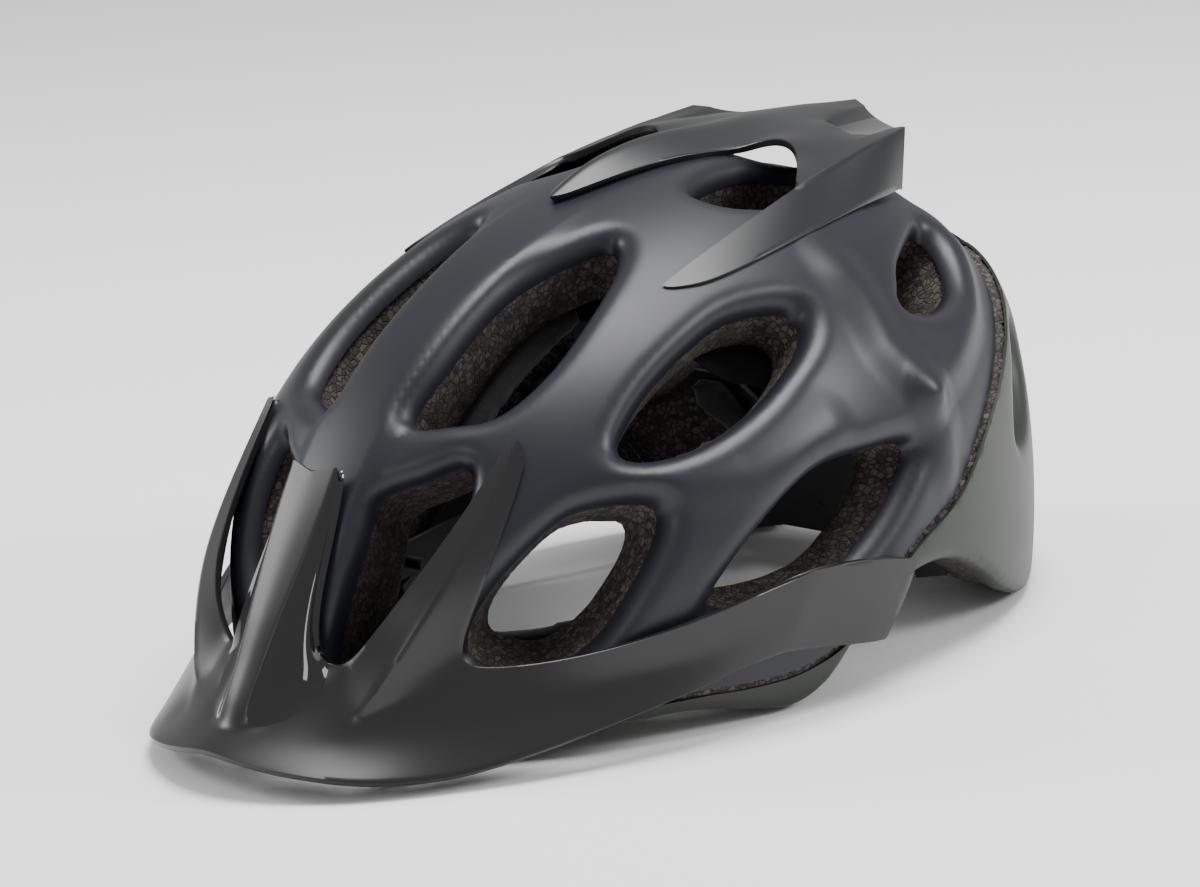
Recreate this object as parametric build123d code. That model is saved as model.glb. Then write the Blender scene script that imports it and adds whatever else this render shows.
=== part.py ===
from build123d import *
import math
import os

# Cycling helmet, modelled in the wearer's frame and set down at the end as it stands on a table.
# Wearer's frame, in millimetres: -Y is the front, +X the wearer's left, +Z the crown.
# Its origin is the middle of the widest level of the shell.

# ---- driving sizes -------------------------------------------------------------------------
shell_half_width = 103.0
shell_half_length = 146.5
crown_rise = 95.0
skirt_depth = 190.0        # lower half-axis of the dome: the walls below the widest level
shell_wall = 1.0           # in-moulded upper shell
lower_wall = 1.2           # lower wrap shell
lower_bulge = 5.0          # how far the lower wrap stands out behind the upper shell
seam_gap = 1.6             # foam that shows between the two shells
rim_step = 1.5             # the foam reaches this far below the shells

head_half_width = 78.0     # hollow for the head
head_half_length = 108.0
head_rise = 69.0
head_shift = 2.0           # the hollow sits a little to the rear

# rim and seam, side view (y, z), from front to rear
rim_line = [(-175, -6), (-150, -12), (-120, -17), (-93, -24), (-76, -28), (-60, -35), (-46, -41),
            (-33, -40), (-20, -32), (-8, -26), (10, -23), (29, -28), (45, -40), (61, -56),
            (80, -69), (96, -74), (114, -74), (130, -66), (150, -52), (175, -30)]
seam_line = [(-175, 0), (-150, -5), (-98, -17), (-75, -22), (-57, -27), (-40, -30), (-21, -28),
             (6, -16), (17, -13), (40, -9), (65, 2), (92, 12), (120, 20), (150, 26), (175, 30)]
ear_foot = (-43, -41.2)    # lowest points of the rim, which the helmet stands on
nape_foot = (105, -74.6)
nape_notch_half_width = 30.0
nape_notch_top = -44.0

# Vents of the wearer's left half. at: middle, on the shell. out: the way out. along: long axis.
# outline: closed curve in the plane of the vent, along and across. depth: how deep it is cut.
vents = {
    "crown_front": dict(at=(29, -59, 83), out=(.28, -.28, .92), along=(.04, .96, .28), skin="upper",
        outline=[(-42, 10), (-21, 12), (14, 13), (37, 8), (50, 0), (35, -10), (-1, -17), (-30, -13)]),
    "side_upper": dict(at=(78, -30, 59), out=(.74, -.14, .66), along=(.06, .99, .14), skin="upper",
        outline=[(-41, 0), (-23, 10), (2, 13), (26, 12), (45, 1), (34, -9), (8, -14), (-20, -13)]),
    "brow": dict(at=(29, -127, 39), out=(.35, -.76, .56), along=(.27, .65, .71), skin="upper",
        outline=[(-36, 2), (-18, 9), (2, 12), (15, 14), (27, 5), (35, -4), (20, -11), (-2, -12), (-22, -9)]),
    "temple": dict(at=(72, -99, 23), out=(.79, -.54, .3), along=(.38, .81, .45), skin="upper",
        outline=[(-40, 6), (-23, 16), (0, 18), (21, 14), (40, -2), (26, -12), (4, -17), (-20, -16)]),
    "side_lower": dict(at=(102, -20, 7), out=(.99, -.1, .08), along=(.09, .99, .11), skin="upper",
        outline=[(-50, 0), (-28, 11), (2, 17), (26, 13), (51, 1), (36, -10), (12, -16), (-24, -14)]),
    "rear_upper": dict(at=(73, 76, 45), out=(.75, .38, .54), along=(-.46, .89, 0), skin="upper",
        outline=[(27, 3), (20, -7), (5, -11), (-12, -9), (-25, 0), (-17, 6), (4, 10)]),
    "crown_rear": dict(at=(34, 52, 83), out=(.26, .19, .95), along=(.02, .98, -.2), skin="upper",
        outline=[(-24, 7), (0, 12), (22, 10), (30, 0), (20, -9), (-4, -13), (-22, -6)]),
    "rear_middle": dict(at=(30, 124, 41), out=(.28, .68, .68), along=(.1, -.72, .68), skin="upper",
        outline=[(-17, 4), (0, 11), (16, 8), (20, 0), (12, -9), (-4, -10), (-16, -5)]),
    "nape_side": dict(at=(77, 104, -6), out=(.72, .69, 0), along=(-.6, .62, .5), skin="lower",
        outline=[(-20, 0), (-8, 8), (10, 9), (21, 1), (10, -8), (-9, -8)]),
    "nape_middle": dict(at=(24, 147, -12), out=(.16, .99, 0), along=(.35, 0, .94), skin="lower",
        outline=[(-15, 2), (-3, 9), (12, 7), (17, 0), (9, -9), (-6, -9)]),
}
vent_reach_out = 26.0
vent_reach_in = 62.0
vent_flare_out = 1.22      # the cutter's size at its outer and inner end, times the outline
vent_flare_in = 0.62
vent_skin_grow = 1.07      # the shell's opening against the foam's

# ---- visor -----------------------------------------------------------------------------------
visor_wall = 2.2
visor_camber = 2.5
# left half, front to rear: (turn from the front, height, reach off the shell) of the root and of
# the free edge, and the share of the camber
visor_sections = [
    ((0, 14, 2), (0, 2, 41.5), 1), ((9, 14.5, 2), (9, -4, 41), 1), ((19, 13.5, 2.4), (18.5, -9, 36), 1),
    ((29.7, 9, 3.2), (28.4, -14.5, 25), .8), ((40, 5, 4), (39.3, -15.5, 15.5), .5),
    ((49, 3, 4.4), (52.2, -16, 7.6), .2), ((62, 3, 4.6), (66, -17.5, 4.8), 0),
    ((73, 2, 4.6), (77, -21.5, 4.6), 0), ((84.5, -1, 4.6), (84.5, -26, 4.6), 0),
    ((93, -12, 4.6), (91, -24, 4.6), 0)]
# fin, from its tip down: (side, height, off the shell) of its inner root, ridge and outer root
fin_sections = [
    [(46, 61.5, 3), (50.5, 62.5, 6), (54, 58.5, 3.4)],
    [(42, 50, 4), (48.5, 52, 12), (55.5, 47, 4.2)],
    [(37, 38, 3.8), (47, 41, 16), (56, 34, 4.2)],
    [(25, 16, 9), (43, 19, 18), (56, 10, 5)],
    [(26, 0, 26), (33, 1, 32), (45, -4, 28)]]
strip_half_width = 9.5
strip_outer = [(61.5, 7.3), (31, 9.5), (5, 34)]    # (height, off the shell) from the notch down
strip_inner = [(58.8, 2.8), (28.5, 5.5), (3, 24)]
strip_notch = 6.0
visor_peg_radius = 3.0
visor_peg_gap = 0.05
visor_peg_height = (7, 2)      # of the middle peg and of the side ones, on the shell
visor_peg_side = 38.0
visor_peg_out = 11.0
visor_peg_in = 14.0
socket_radius = 4.8
socket_start = 5.0
seat_gap = 0.05                # round fittings set in the foam

# ---- rear wing -------------------------------------------------------------------------------
wing_wall = 2.4
wing_gap = 0.6
# across the deck: (y, height in the middle, half width, height at the edge)
wing_ribs = [(-30, 100, 58, 78), (10, 104, 58, 82), (45, 98.5, 58, 83), (75, 90.5, 56, 82.5),
             (104, 82.5, 53, 80), (142, 71, 50, 74)]
wing_plan = [(0, -4), (7, 8), (12, 60), (17, 72), (28, 76), (38, 68), (46, 20), (51, -22), (56, -20),
             (57, 20), (50, 108), (26, 113), (0, 137)]
blade_side = [(-21, 82), (45, 84), (107, 79), (100, 56), (97, 30), (40, 50), (-20, 70)]
blade_x = 49.5
blade_toe = 3.0                # degrees that the blades close in towards the rear

# ---- fit system -------------------------------------------------------------------------------
running_gap = 0.05
layer_gap = 0.3
belt_thick = 1.6
belt_straight = 35.0           # the belt runs straight this far from the middle
belt_end = 9.5                 # its end, past the middle
belt_travel = 8.0
belt_plan = [(53, 56), (65, 6), (61.5, -51.5)]
belt_side = [(110, -50, 7.8), (74, -50, 7.8), (60, -46.5, 6.6), (15, -27, 5.5), (-52.5, -16, 5.5)]
belt_pivot = (-46.0, -16.0)
belt_pin_radius = 2.0
belt_pin_reach = 51.0
belt_anchor_out = 5.0
rack_clear = 0.4
rack_thinning = 0.25
tooth_thinning = 0.1
pressure_angle = 25.0
pinion_teeth = 12
tooth_module = 0.8
dial_centre = (0.0, -50.0)     # side, height
cradle_front = 84.0
case_half_width = 27.0
case_half_height = 11.6
case_wall = 1.6
case_cover_y = 89.7
rail_inner = 8.2
spindle_radius = 2.0
spindle_gap = 0.05
screw_radius = 0.9
dial_radius = 15.5
dial_thick = 8.5
dial_grips = 14
cradle_arm = [(4, -41), (20, -41), (46, -22), (46, -8), (30, -8), (4, -30)]
nape_pad_outline = [(22, -34), (44, -19), (44, -10), (32, -10), (20, -24)]
nape_pad_thick = 5.0
hanger_side = [(84, -39), (85.6, -39), (85.6, -30), (101.6, -12), (101.6, 16), (100, 16),
               (100, -11.4), (84, -29.4)]
hanger_half_width = 6.0
hanger_slot = (-8.0, 10.0)
hanger_pin_z = 3.0
hanger_pin_radius = 2.0
hanger_front = 98.4
hanger_back = 102.9

# ---- pads -------------------------------------------------------------------------------------
pad_gap = 0.4                  # hook-and-loop layer between pad and foam
pad_thickness = 6.0
pad_dot_radius = 3.0
brow_pad_turn = 45.0
brow_pad_z = (-18.0, -2.0)
crown_pad_half = 13.0
crown_pad_front_y = (-74.0, -15.0)
crown_pad_rear_y = (15.0, 72.0)
side_pad_y = (-42.0, 5.0)
side_pad_z = (21.0, 32.0)

# ---- straps -----------------------------------------------------------------------------------
strap_width = 15.0
strap_thick = 1.2
strap_clear = 0.3
strap_off_wall = 3.2
strap_roof = 56.0              # height of the stretch that crosses below the crown
front_strap_path = [(-38, -31), (37, -6)]
rear_strap_path = [(63, -46), (51, -12)]
chin_strap_path = [(46, 3), (10, 42), (0, 50), (0, 75)]
anchor_size = (20.0, 11.0, 10.0)   # along the wall, up, in depth
anchor_sunk = 4.0
divider_at = (46.0, -2.0)
divider_half = (13.0, 11.0)
divider_layer = (1.0, 7.0)
lever_drop = 7.0
lever_lift = 1.9
lever_length = 13.0
lever_pin_radius = 0.8
buckle_length = 24.0
buckle_strap_end = 15.8
male_strap_end = 7.4
buckle_travel = 14.0


# ---- helpers -----------------------------------------------------------------------------------
def ellipsoid(half_width, half_length, rise, drop, shift=0.0):
    """Dome with one height above the widest level and another below it."""
    keep_level = (Align.CENTER, Align.CENTER, Align.NONE)
    top = Sphere(1, arc_size1=0, arc_size2=90, align=keep_level)
    bottom = Sphere(1, arc_size1=-90, arc_size2=0, align=keep_level)
    upper = scale(top, by=(half_width, half_length, rise))
    lower = scale(bottom, by=(half_width, half_length, drop))
    return Pos(0, shift, 0) * (upper + lower)


def shell_dome(inset):
    return ellipsoid(shell_half_width - inset, shell_half_length - inset, crown_rise - inset,
                     skirt_depth - inset)


def wrap_dome(inset):
    return ellipsoid(shell_half_width + 1 - inset, shell_half_length - inset, crown_rise - inset,
                     skirt_depth - inset, shift=lower_bulge)


def head_dome(inset):
    """The hollow for the head, closed at the top and straight below its widest level."""
    half = Sphere(1, arc_size1=0, arc_size2=90, align=(Align.CENTER, Align.CENTER, Align.NONE))
    top = scale(half, by=(head_half_width - inset, head_half_length - inset, head_rise - inset))
    wall = extrude(Ellipse(head_half_width - inset, head_half_length - inset), -2 * skirt_depth)
    return Pos(0, head_shift, 0) * (top + wall)


def below(line, drop=0.0):
    """Everything under a line drawn in side view."""
    points = [(0, y, z - drop) for y, z in line]
    floor = -2 * skirt_depth
    curve = Edge.make_spline([Vector(*p) for p in points])
    sides = Polyline((points[-1]), (0, points[-1][1], floor), (0, points[0][1], floor), (points[0]))
    return extrude(Face(Wire([curve, *sides.edges()])), 140, dir=(1, 0, 0), both=True)


def side_slab(points, half_width):
    face = Face(Wire.make_polygon([Vector(0, y, z) for y, z in points]))
    return extrude(face, half_width, dir=(1, 0, 0), both=True)


def plan_prism(points, low, high):
    face = Face(Wire.make_polygon([Vector(x, y, low) for x, y in points]))
    return extrude(face, high - low, dir=(0, 0, 1))


def both_sides(part):
    return part + mirror(part, Plane.YZ)


def vent_tool(vent, grow=1.0):
    plane = Plane(origin=vent["at"], x_dir=vent["along"], z_dir=vent["out"])

    def ring(height, share):
        points = [plane.from_local_coords(Vector(u * share, v * share, height))
                  for u, v in vent["outline"]]
        return Wire([Edge.make_spline(points, periodic=True)])

    steps = [(vent_reach_out, vent_flare_out), (0, 1.0), (-vent_reach_in, vent_flare_in)]
    return Solid.make_loft([ring(h, s * grow) for h, s in steps], ruled=True)


def vent_tools(skin, grow=1.0):
    left = [vent_tool(v, grow) for v in vents.values() if v["skin"] in skin]
    return left + [mirror(t, Plane.YZ) for t in left]


def nape_notch(grow=0.0):
    """The arch at the rear of the rim that leaves room for a hand on the dial."""
    half, top = nape_notch_half_width + grow, nape_notch_top + grow
    slope = 14
    points = [(-half - slope, -120), (-half, top - slope), (-half + slope, top),
              (half - slope, top), (half, top - slope), (half + slope, -120)]
    face = Face(Wire.make_polygon([Vector(x, 60, z) for x, z in points]))
    return extrude(face, 140, dir=(0, 1, 0))


# ---- shells and foam ---------------------------------------------------------------------------
def make_outer_shell():
    skin = shell_dome(0) - shell_dome(shell_wall) - below(seam_line, -seam_gap / 2)
    return skin - vent_tools(("upper",), vent_skin_grow)


def make_lower_shell():
    skin = wrap_dome(0) - wrap_dome(lower_wall)
    skin = (skin & below(seam_line, seam_gap / 2)) - below(rim_line, -rim_step) - nape_notch(rim_step)
    return skin - vent_tools(("lower", "upper"), vent_skin_grow)


def make_foam_liner():
    upper = shell_dome(shell_wall) - below(seam_line)
    lower = wrap_dome(lower_wall) & below(seam_line)
    block = (upper + lower) - below(rim_line) - nape_notch()
    return block - head_dome(0) - vent_tools(("lower", "upper"))


foot_tilt = math.degrees(math.atan2(ear_foot[1] - nape_foot[1], nape_foot[0] - ear_foot[0]))
pull = Vector(0, -math.cos(math.radians(foot_tilt)), math.sin(math.radians(foot_tilt)))


def on_shell(angle, z, reach):
    """Point at a turn from the front, standing out of the shell by reach."""
    depth = crown_rise if z > 0 else skirt_depth
    level = math.sqrt(max(0.0, 1 - (z / depth) ** 2))
    turn = math.radians(angle)
    return Vector((shell_half_width * level + reach) * math.sin(turn),
                  -(shell_half_length * level + reach) * math.cos(turn), z)


def before_shell(x, z, gap):
    """Point in front of the shell at a given side and height."""
    share = 1 - (x / shell_half_width) ** 2 - (z / crown_rise) ** 2
    return Vector(x, -shell_half_length * math.sqrt(max(0.0, share)) - gap, z)


def plate(rows, thick, down):
    """Closed plate of flat facets: rows of points on its outer side, set back by thick."""
    def normal(i, j):
        a = rows[min(i + 1, len(rows) - 1)][j] - rows[max(i - 1, 0)][j]
        b = rows[i][min(j + 1, len(rows[i]) - 1)] - rows[i][max(j - 1, 0)]
        n = a.cross(b).normalized()
        return n if n.dot(down) > 0 else n * -1

    back = [[p + normal(i, j) * thick for j, p in enumerate(row)] for i, row in enumerate(rows)]
    faces = []

    def patch(a, b, c, d):
        faces.append(Face(Wire.make_polygon([a, b, c])))
        faces.append(Face(Wire.make_polygon([a, c, d])))

    last_i = len(rows) - 1
    last_j = len(rows[0]) - 1
    for i in range(last_i):
        for j in range(last_j):
            patch(rows[i][j], rows[i][j + 1], rows[i + 1][j + 1], rows[i + 1][j])
            patch(back[i][j], back[i + 1][j], back[i + 1][j + 1], back[i][j + 1])
        patch(rows[i][0], rows[i + 1][0], back[i + 1][0], back[i][0])
        patch(rows[i][last_j], back[i][last_j], back[i + 1][last_j], rows[i + 1][last_j])
    for j in range(last_j):
        patch(rows[0][j], back[0][j], back[0][j + 1], rows[0][j + 1])
        patch(rows[last_i][j], rows[last_i][j + 1], back[last_i][j + 1], back[last_i][j])
    return Solid(Shell(faces))


def rod(start, end, radius):
    axis = end - start
    return extrude(Plane(origin=start, z_dir=axis.normalized()) * Circle(radius), axis.length)


def block(low, high):
    size = [h - l for l, h in zip(low, high)]
    middle = [(h + l) / 2 for l, h in zip(low, high)]
    return Pos(*middle) * Box(*size)


def gather(pieces):
    return Compound(children=[p if isinstance(p, Solid) else p.solids()[0] for p in pieces])


# ---- visor and its sockets ---------------------------------------------------------------------
def peg_points():
    points = [before_shell(0, visor_peg_height[0], 0)]
    for side in (1, -1):
        points.append(before_shell(side * visor_peg_side, visor_peg_height[1], 0))
    return points


def make_visor():
    left = [[on_shell(*r), (on_shell(*r) + on_shell(*e)) * 0.5 + Vector(0, 0, visor_camber * c),
             on_shell(*e)] for r, e, c in visor_sections]
    right = [[Vector(-p.X, p.Y, p.Z) for p in row] for row in left[:0:-1]]
    visor = plate(right + left, visor_wall, Vector(0, 0.5, -1))
    fin_rows = [[before_shell(*p) for p in row] for row in fin_sections]
    rings = [Wire.make_polygon(row + [row[0]], close=False) for row in fin_rows]
    fin = Solid.make_loft(rings, ruled=True)
    outer = [before_shell(0, *p) for p in strip_outer]
    inner = [before_shell(0, *p) for p in strip_inner]
    face = Face(Wire.make_polygon(outer + inner[::-1]))
    strip = extrude(face, strip_half_width, dir=(1, 0, 0), both=True)
    notch_low = strip_outer[0][0] - strip_notch
    notch = Face(Wire.make_polygon([Vector(0, -200, notch_low), Vector(5, -200, 90),
                                    Vector(-5, -200, 90)]))
    strip = strip - extrude(notch, 160, dir=(0, 1, 0))
    visor = visor + fin + mirror(fin, Plane.YZ) + strip
    for p in peg_points():
        visor = visor + rod(p + pull * visor_peg_out, p - pull * visor_peg_in, visor_peg_radius)
    return visor


def socket_tools(grow):
    return [rod(p + pull * 6, p - pull * (visor_peg_in + 2.5 + grow), socket_radius + grow)
            for p in peg_points()]


def make_visor_sockets():
    cups = []
    for p in peg_points():
        cup = rod(p - pull * socket_start, p - pull * (visor_peg_in + 2.5), socket_radius)
        cups.append(cup - rod(p, p - pull * (visor_peg_in + 1), visor_peg_radius + visor_peg_gap))
    return gather(cups)


# ---- rear wing -----------------------------------------------------------------------------------
def make_rear_wing():
    rows = []
    for y, middle, half, edge in wing_ribs:
        row = []
        for share in (-1, -0.7, -0.35, 0, 0.35, 0.7, 1):
            row.append(Vector(half * share, y, middle + (edge - middle) * abs(share) ** 1.6))
        rows.append(row)
    deck = plate(rows, wing_wall, Vector(0, 0, -1))
    half_plan = plan_prism(wing_plan, 40, 130)
    deck = deck & (half_plan + mirror(half_plan, Plane.YZ))
    blade = side_slab([(y, z) for y, z in blade_side], wing_wall / 2)
    blade = Pos(blade_x, 0, 0) * Rot(Z=blade_toe) * blade
    wing = deck + blade + mirror(blade, Plane.YZ)
    return wing - shell_dome(-wing_gap)


# ---- pads ------------------------------------------------------------------------------------------
def pad_layer(start, thick):
    return head_dome(start) - head_dome(start + thick)


def pad_zones():
    """Where each pad lies: a prism that cuts it from the layer inside the foam."""
    turn = math.radians(brow_pad_turn)
    far = 200
    fan = [(0, 0), (far * math.sin(turn), -far * math.cos(turn)), (0, -far * 1.3),
           (-far * math.sin(turn), -far * math.cos(turn))]
    side = block((0, side_pad_y[0], side_pad_z[0]), (far, side_pad_y[1], side_pad_z[1]))
    return {
        "brow_pad": plan_prism(fan, *brow_pad_z),
        "crown_pad_front": block((-crown_pad_half, crown_pad_front_y[0], 20),
                                 (crown_pad_half, crown_pad_front_y[1], 90)),
        "crown_pad_rear": block((-crown_pad_half, crown_pad_rear_y[0], 20),
                                (crown_pad_half, crown_pad_rear_y[1], 90)),
        "side_pad_left": side,
        "side_pad_right": mirror(side, Plane.YZ),
    }


def make_pads():
    layer = pad_layer(pad_gap, pad_thickness)
    return {name: layer & zone for name, zone in pad_zones().items()}


def make_pad_dots():
    z = sum(brow_pad_z) / 2
    spots = []
    for turn in (-brow_pad_turn * .7, 0, brow_pad_turn * .7):
        t = math.radians(turn)
        spots.append((head_half_width * math.sin(t), head_shift - head_half_length * math.cos(t), z))
    for low, high in (crown_pad_front_y, crown_pad_rear_y):
        for y in (low + 9, high - 9):
            rise = head_rise * math.sqrt(1 - ((y - head_shift) / head_half_length) ** 2)
            spots.append((0, y, rise))
    z = sum(side_pad_z) / 2
    for y in (side_pad_y[0] + 9, side_pad_y[1] - 9):
        share = 1 - (z / head_rise) ** 2 - ((y - head_shift) / head_half_length) ** 2
        for side in (1, -1):
            spots.append((side * head_half_width * math.sqrt(share), y, z))
    dots = []
    for x, y, z in spots:
        inward = Vector(-x / head_half_width ** 2, -(y - head_shift) / head_half_length ** 2,
                        -max(z, 0) / head_rise ** 2).normalized()
        start = Vector(x, y, z) + inward * 0.12
        dots.append(rod(start, start + inward * (pad_gap - 0.22), pad_dot_radius))
    return gather(dots)


# ---- straps ----------------------------------------------------------------------------------------
def strap_sheet(grow=0.0):
    """The layer the webbing lies in: along the wall, and straight across below the crown."""
    def hollow(inset, roof):
        return head_dome(inset) - block((-150, -150, roof), (150, 150, 150))
    return (hollow(strap_off_wall - grow, strap_roof + grow)
            - hollow(strap_off_wall + strap_thick + grow, strap_roof - strap_thick - grow))


def band(path, half):
    """Side-view band along a path, as a tool over the left half."""
    left, right = [], []
    for i, (y, z) in enumerate(path):
        ya, za = path[max(i - 1, 0)]
        yb, zb = path[min(i + 1, len(path) - 1)]
        length = math.hypot(yb - ya, zb - za)
        ny, nz = -(zb - za) / length * half, (yb - ya) / length * half
        left.append((y + ny, z + nz))
        right.append((y - ny, z - nz))
    face = Face(Wire.make_polygon([Vector(0, y, z) for y, z in left + right[::-1]]))
    return extrude(face, 140, dir=(1, 0, 0))


def strap_bands(grow=0.0):
    half = strap_width / 2 + grow
    return [band(path, half) for path in (front_strap_path, rear_strap_path, chin_strap_path)]


def make_straps():
    sheet = strap_sheet()
    front, rear, chin = [sheet & b for b in strap_bands()]
    chin_left = chin - block((-1, -50, 40), (buckle_strap_end, 50, 80))
    chin_right = mirror(chin - block((-1, -50, 40), (male_strap_end, 50, 80)), Plane.YZ)
    return {"front_strap_left": front, "front_strap_right": mirror(front, Plane.YZ),
            "rear_strap_left": rear, "rear_strap_right": mirror(rear, Plane.YZ),
            "chin_strap_left": chin_left, "chin_strap_right": chin_right}


def wall_plane(y, z, inset=0.0):
    """Plane on the hollow's wall, left side: x rearwards, y down, z into the hollow."""
    a = head_half_width - inset
    b = head_half_length - inset
    x = a * math.sqrt(1 - ((y - head_shift) / b) ** 2)
    inward = Vector(-x / a ** 2, -(y - head_shift) / b ** 2, 0).normalized()
    return Plane(origin=(x, y, z), x_dir=Vector(0, 0, 1).cross(inward) * -1, z_dir=inward)


def anchor_block(path, grow=0.0):
    y, z = path[0]
    size = [s + 2 * grow for s in anchor_size]
    return wall_plane(y, z) * Pos(0, 0, anchor_size[2] / 2 - anchor_sunk) * Box(*size)


def make_strap_anchors():
    tool = strap_sheet(strap_clear)
    bands = strap_bands(strap_clear)
    pieces = []
    for path, b in ((front_strap_path, bands[0]), (rear_strap_path, bands[1])):
        piece = anchor_block(path) - (tool & b)
        pieces += [piece, mirror(piece, Plane.YZ)]
    return gather(pieces)


def divider_plane():
    return wall_plane(*divider_at, inset=divider_layer[1])


def make_divider():
    y, z = divider_at
    half_y, half_z = divider_half
    body = head_dome(divider_layer[0]) - head_dome(divider_layer[1])
    body = body & block((10, y - half_y, z - half_z), (200, y + half_y, z + half_z))
    tool = strap_sheet(strap_clear)
    for b in strap_bands(strap_clear):
        body = body - (tool & b)
    plane = divider_plane()
    for side in (1, -1):
        ear = block((4.3, lever_drop - 1.6, -1.2), (6.0, lever_drop + 1.6, lever_lift + 1.6))
        if side < 0:
            ear = mirror(ear, Plane.YZ)
        body = body + plane * ear
    pin = Pos(0, lever_drop, lever_lift) * Rot(Y=90) * Cylinder(lever_pin_radius, 11)
    return body + plane * pin


def make_lever():
    barrel = Pos(0, lever_drop, lever_lift) * Rot(Y=90) * Cylinder(1.4, 8)
    arm = block((-4, lever_drop - lever_length, lever_lift - 0.9), (4, lever_drop, lever_lift + 0.7))
    bore = Pos(0, lever_drop, lever_lift) * Rot(Y=90) * Cylinder(lever_pin_radius + running_gap, 12)
    return divider_plane() * (barrel + arm - bore)


def make_buckle():
    low, high = strap_roof - strap_thick - 2.8, strap_roof + 3.0
    half = strap_width / 2 + 2.6
    slot_low, slot_high = strap_roof - strap_thick - strap_clear, strap_roof + strap_clear
    slot_half = strap_width / 2 + strap_clear
    socket = block((1, -half, low), (buckle_length - 3, half, high))
    socket = socket - block((0, -half + 1.6, low + 1.4), (14, half - 1.6, high - 1.4))
    socket = socket - block((buckle_strap_end - 0.4, -slot_half, slot_low), (40, slot_half, slot_high))
    for side in (1, -1):
        window = block((6, half - 3, low + 2.2), (12, half + 1, high - 2.2))
        socket = socket - (window if side > 0 else mirror(window, Plane.XZ))
    plug = block((-13, -half, low), (0.6, half, high))
    plug = plug - block((-40, -slot_half, slot_low), (-male_strap_end + 0.4, slot_half, slot_high))
    for y in (-half + 3.2, 0, half - 3.2):
        plug = plug + block((0, y - 1.2, low + 1.8), (12.5, y + 1.2, high - 1.8))
    keeper = block((25, -slot_half - 1.2, slot_low - 1.2), (28, slot_half + 1.2, slot_high + 1.2))
    keeper = keeper - block((20, -slot_half, slot_low), (40, slot_half, slot_high))
    return socket, plug, keeper


# ---- fit system ------------------------------------------------------------------------------------
def tooth_points(centre_x, centre_z, turn):
    """Involute gear outline in the XZ plane."""
    pitch_radius = tooth_module * pinion_teeth / 2
    base = pitch_radius * math.cos(math.radians(pressure_angle))
    tip = pitch_radius + tooth_module
    root = pitch_radius - 1.25 * tooth_module
    start = math.tan(math.radians(pressure_angle)) - math.radians(pressure_angle)
    half_tooth = math.pi / (2 * pinion_teeth) - tooth_thinning / (2 * pitch_radius)
    flank = []
    for k in range(7):
        r = base + (tip - base) * k / 6
        roll = math.acos(min(1.0, base / r))
        flank.append((r, half_tooth + start - (math.tan(roll) - roll)))
    points = []
    for tooth in range(pinion_teeth):
        middle = 2 * math.pi * tooth / pinion_teeth + turn
        points.append((root, middle - flank[0][1]))
        points += [(r, middle - a) for r, a in flank]
        points += [(r, middle + a) for r, a in flank[::-1]]
        points.append((root, middle + flank[0][1]))
    return [(centre_x + r * math.cos(a), centre_z + r * math.sin(a)) for r, a in points]


def xz_prism(points, y_low, y_high):
    face = Face(Wire.make_polygon([Vector(x, y_low, z) for x, z in points]))
    return extrude(face, y_high - y_low, dir=(0, 1, 0))


def rack_slot(y_low, y_high, side):
    """Window in a belt with rack teeth: side +1 has them above the gear, -1 below."""
    pitch = math.pi * tooth_module
    radius = tooth_module * pinion_teeth / 2
    tip = radius - tooth_module
    root = radius + 1.25 * tooth_module
    slope = math.tan(math.radians(pressure_angle))
    far = radius + tooth_module + rack_clear
    start = -far - 0.6
    end = start + 2 * far + 1.2 + belt_travel
    points = [(end, -far), (start, -far), (start, root)]
    k = math.ceil((start + pitch) / pitch)
    while (k + 0.5) * pitch + pitch / 2 < end:
        middle = (k + 0.5) * pitch
        half = pitch / 4 - rack_thinning / 2
        points += [(middle - half - tooth_module * 1.25 * slope, root),
                   (middle - half + tooth_module * slope, tip),
                   (middle + half - tooth_module * slope, tip),
                   (middle + half + tooth_module * 1.25 * slope, root)]
        k += 1
    points.append((end, root))
    z0 = dial_centre[1]
    return xz_prism([(x * side, z0 + z * side) for x, z in points], y_low, y_high)


def make_belt(y_low, side):
    """side +1: the wearer's left belt."""
    y_mid = y_low + belt_thick / 2
    z0 = dial_centre[1]
    curve = Edge.make_spline([Vector(belt_straight, y_mid)] + [Vector(*p) for p in belt_plan],
                             tangents=[Vector(1, 0), Vector(-.12, -1)])
    outer = [Vector(-belt_end, y_mid + belt_thick / 2)]
    inner = [Vector(-belt_end, y_mid - belt_thick / 2)]
    for i in range(41):
        p = curve.position_at(i / 40)
        t = curve.tangent_at(i / 40)
        n = Vector(-t.Y, t.X)
        outer.append(p + n * (belt_thick / 2))
        inner.append(p - n * (belt_thick / 2))
    face = Face(Wire.make_polygon(outer + inner[::-1]))
    ribbon = extrude(Pos(0, 0, z0 - 40) * face, 90, dir=(0, 0, 1))
    top = [Vector(-200, y, z + h) for y, z, h in belt_side]
    low = [Vector(-200, y, z - h) for y, z, h in belt_side]
    ribbon = ribbon & extrude(Face(Wire.make_polygon(top + low[::-1])), 400, dir=(1, 0, 0))
    pin_y, pin_z = belt_pivot
    ribbon = ribbon - rod(Vector(0, pin_y, pin_z), Vector(150, pin_y, pin_z), belt_pin_radius + 0.3)
    if side < 0:
        ribbon = mirror(ribbon, Plane.YZ)
    return ribbon - rack_slot(y_low - 1, y_low + belt_thick + 1, side)


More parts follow.
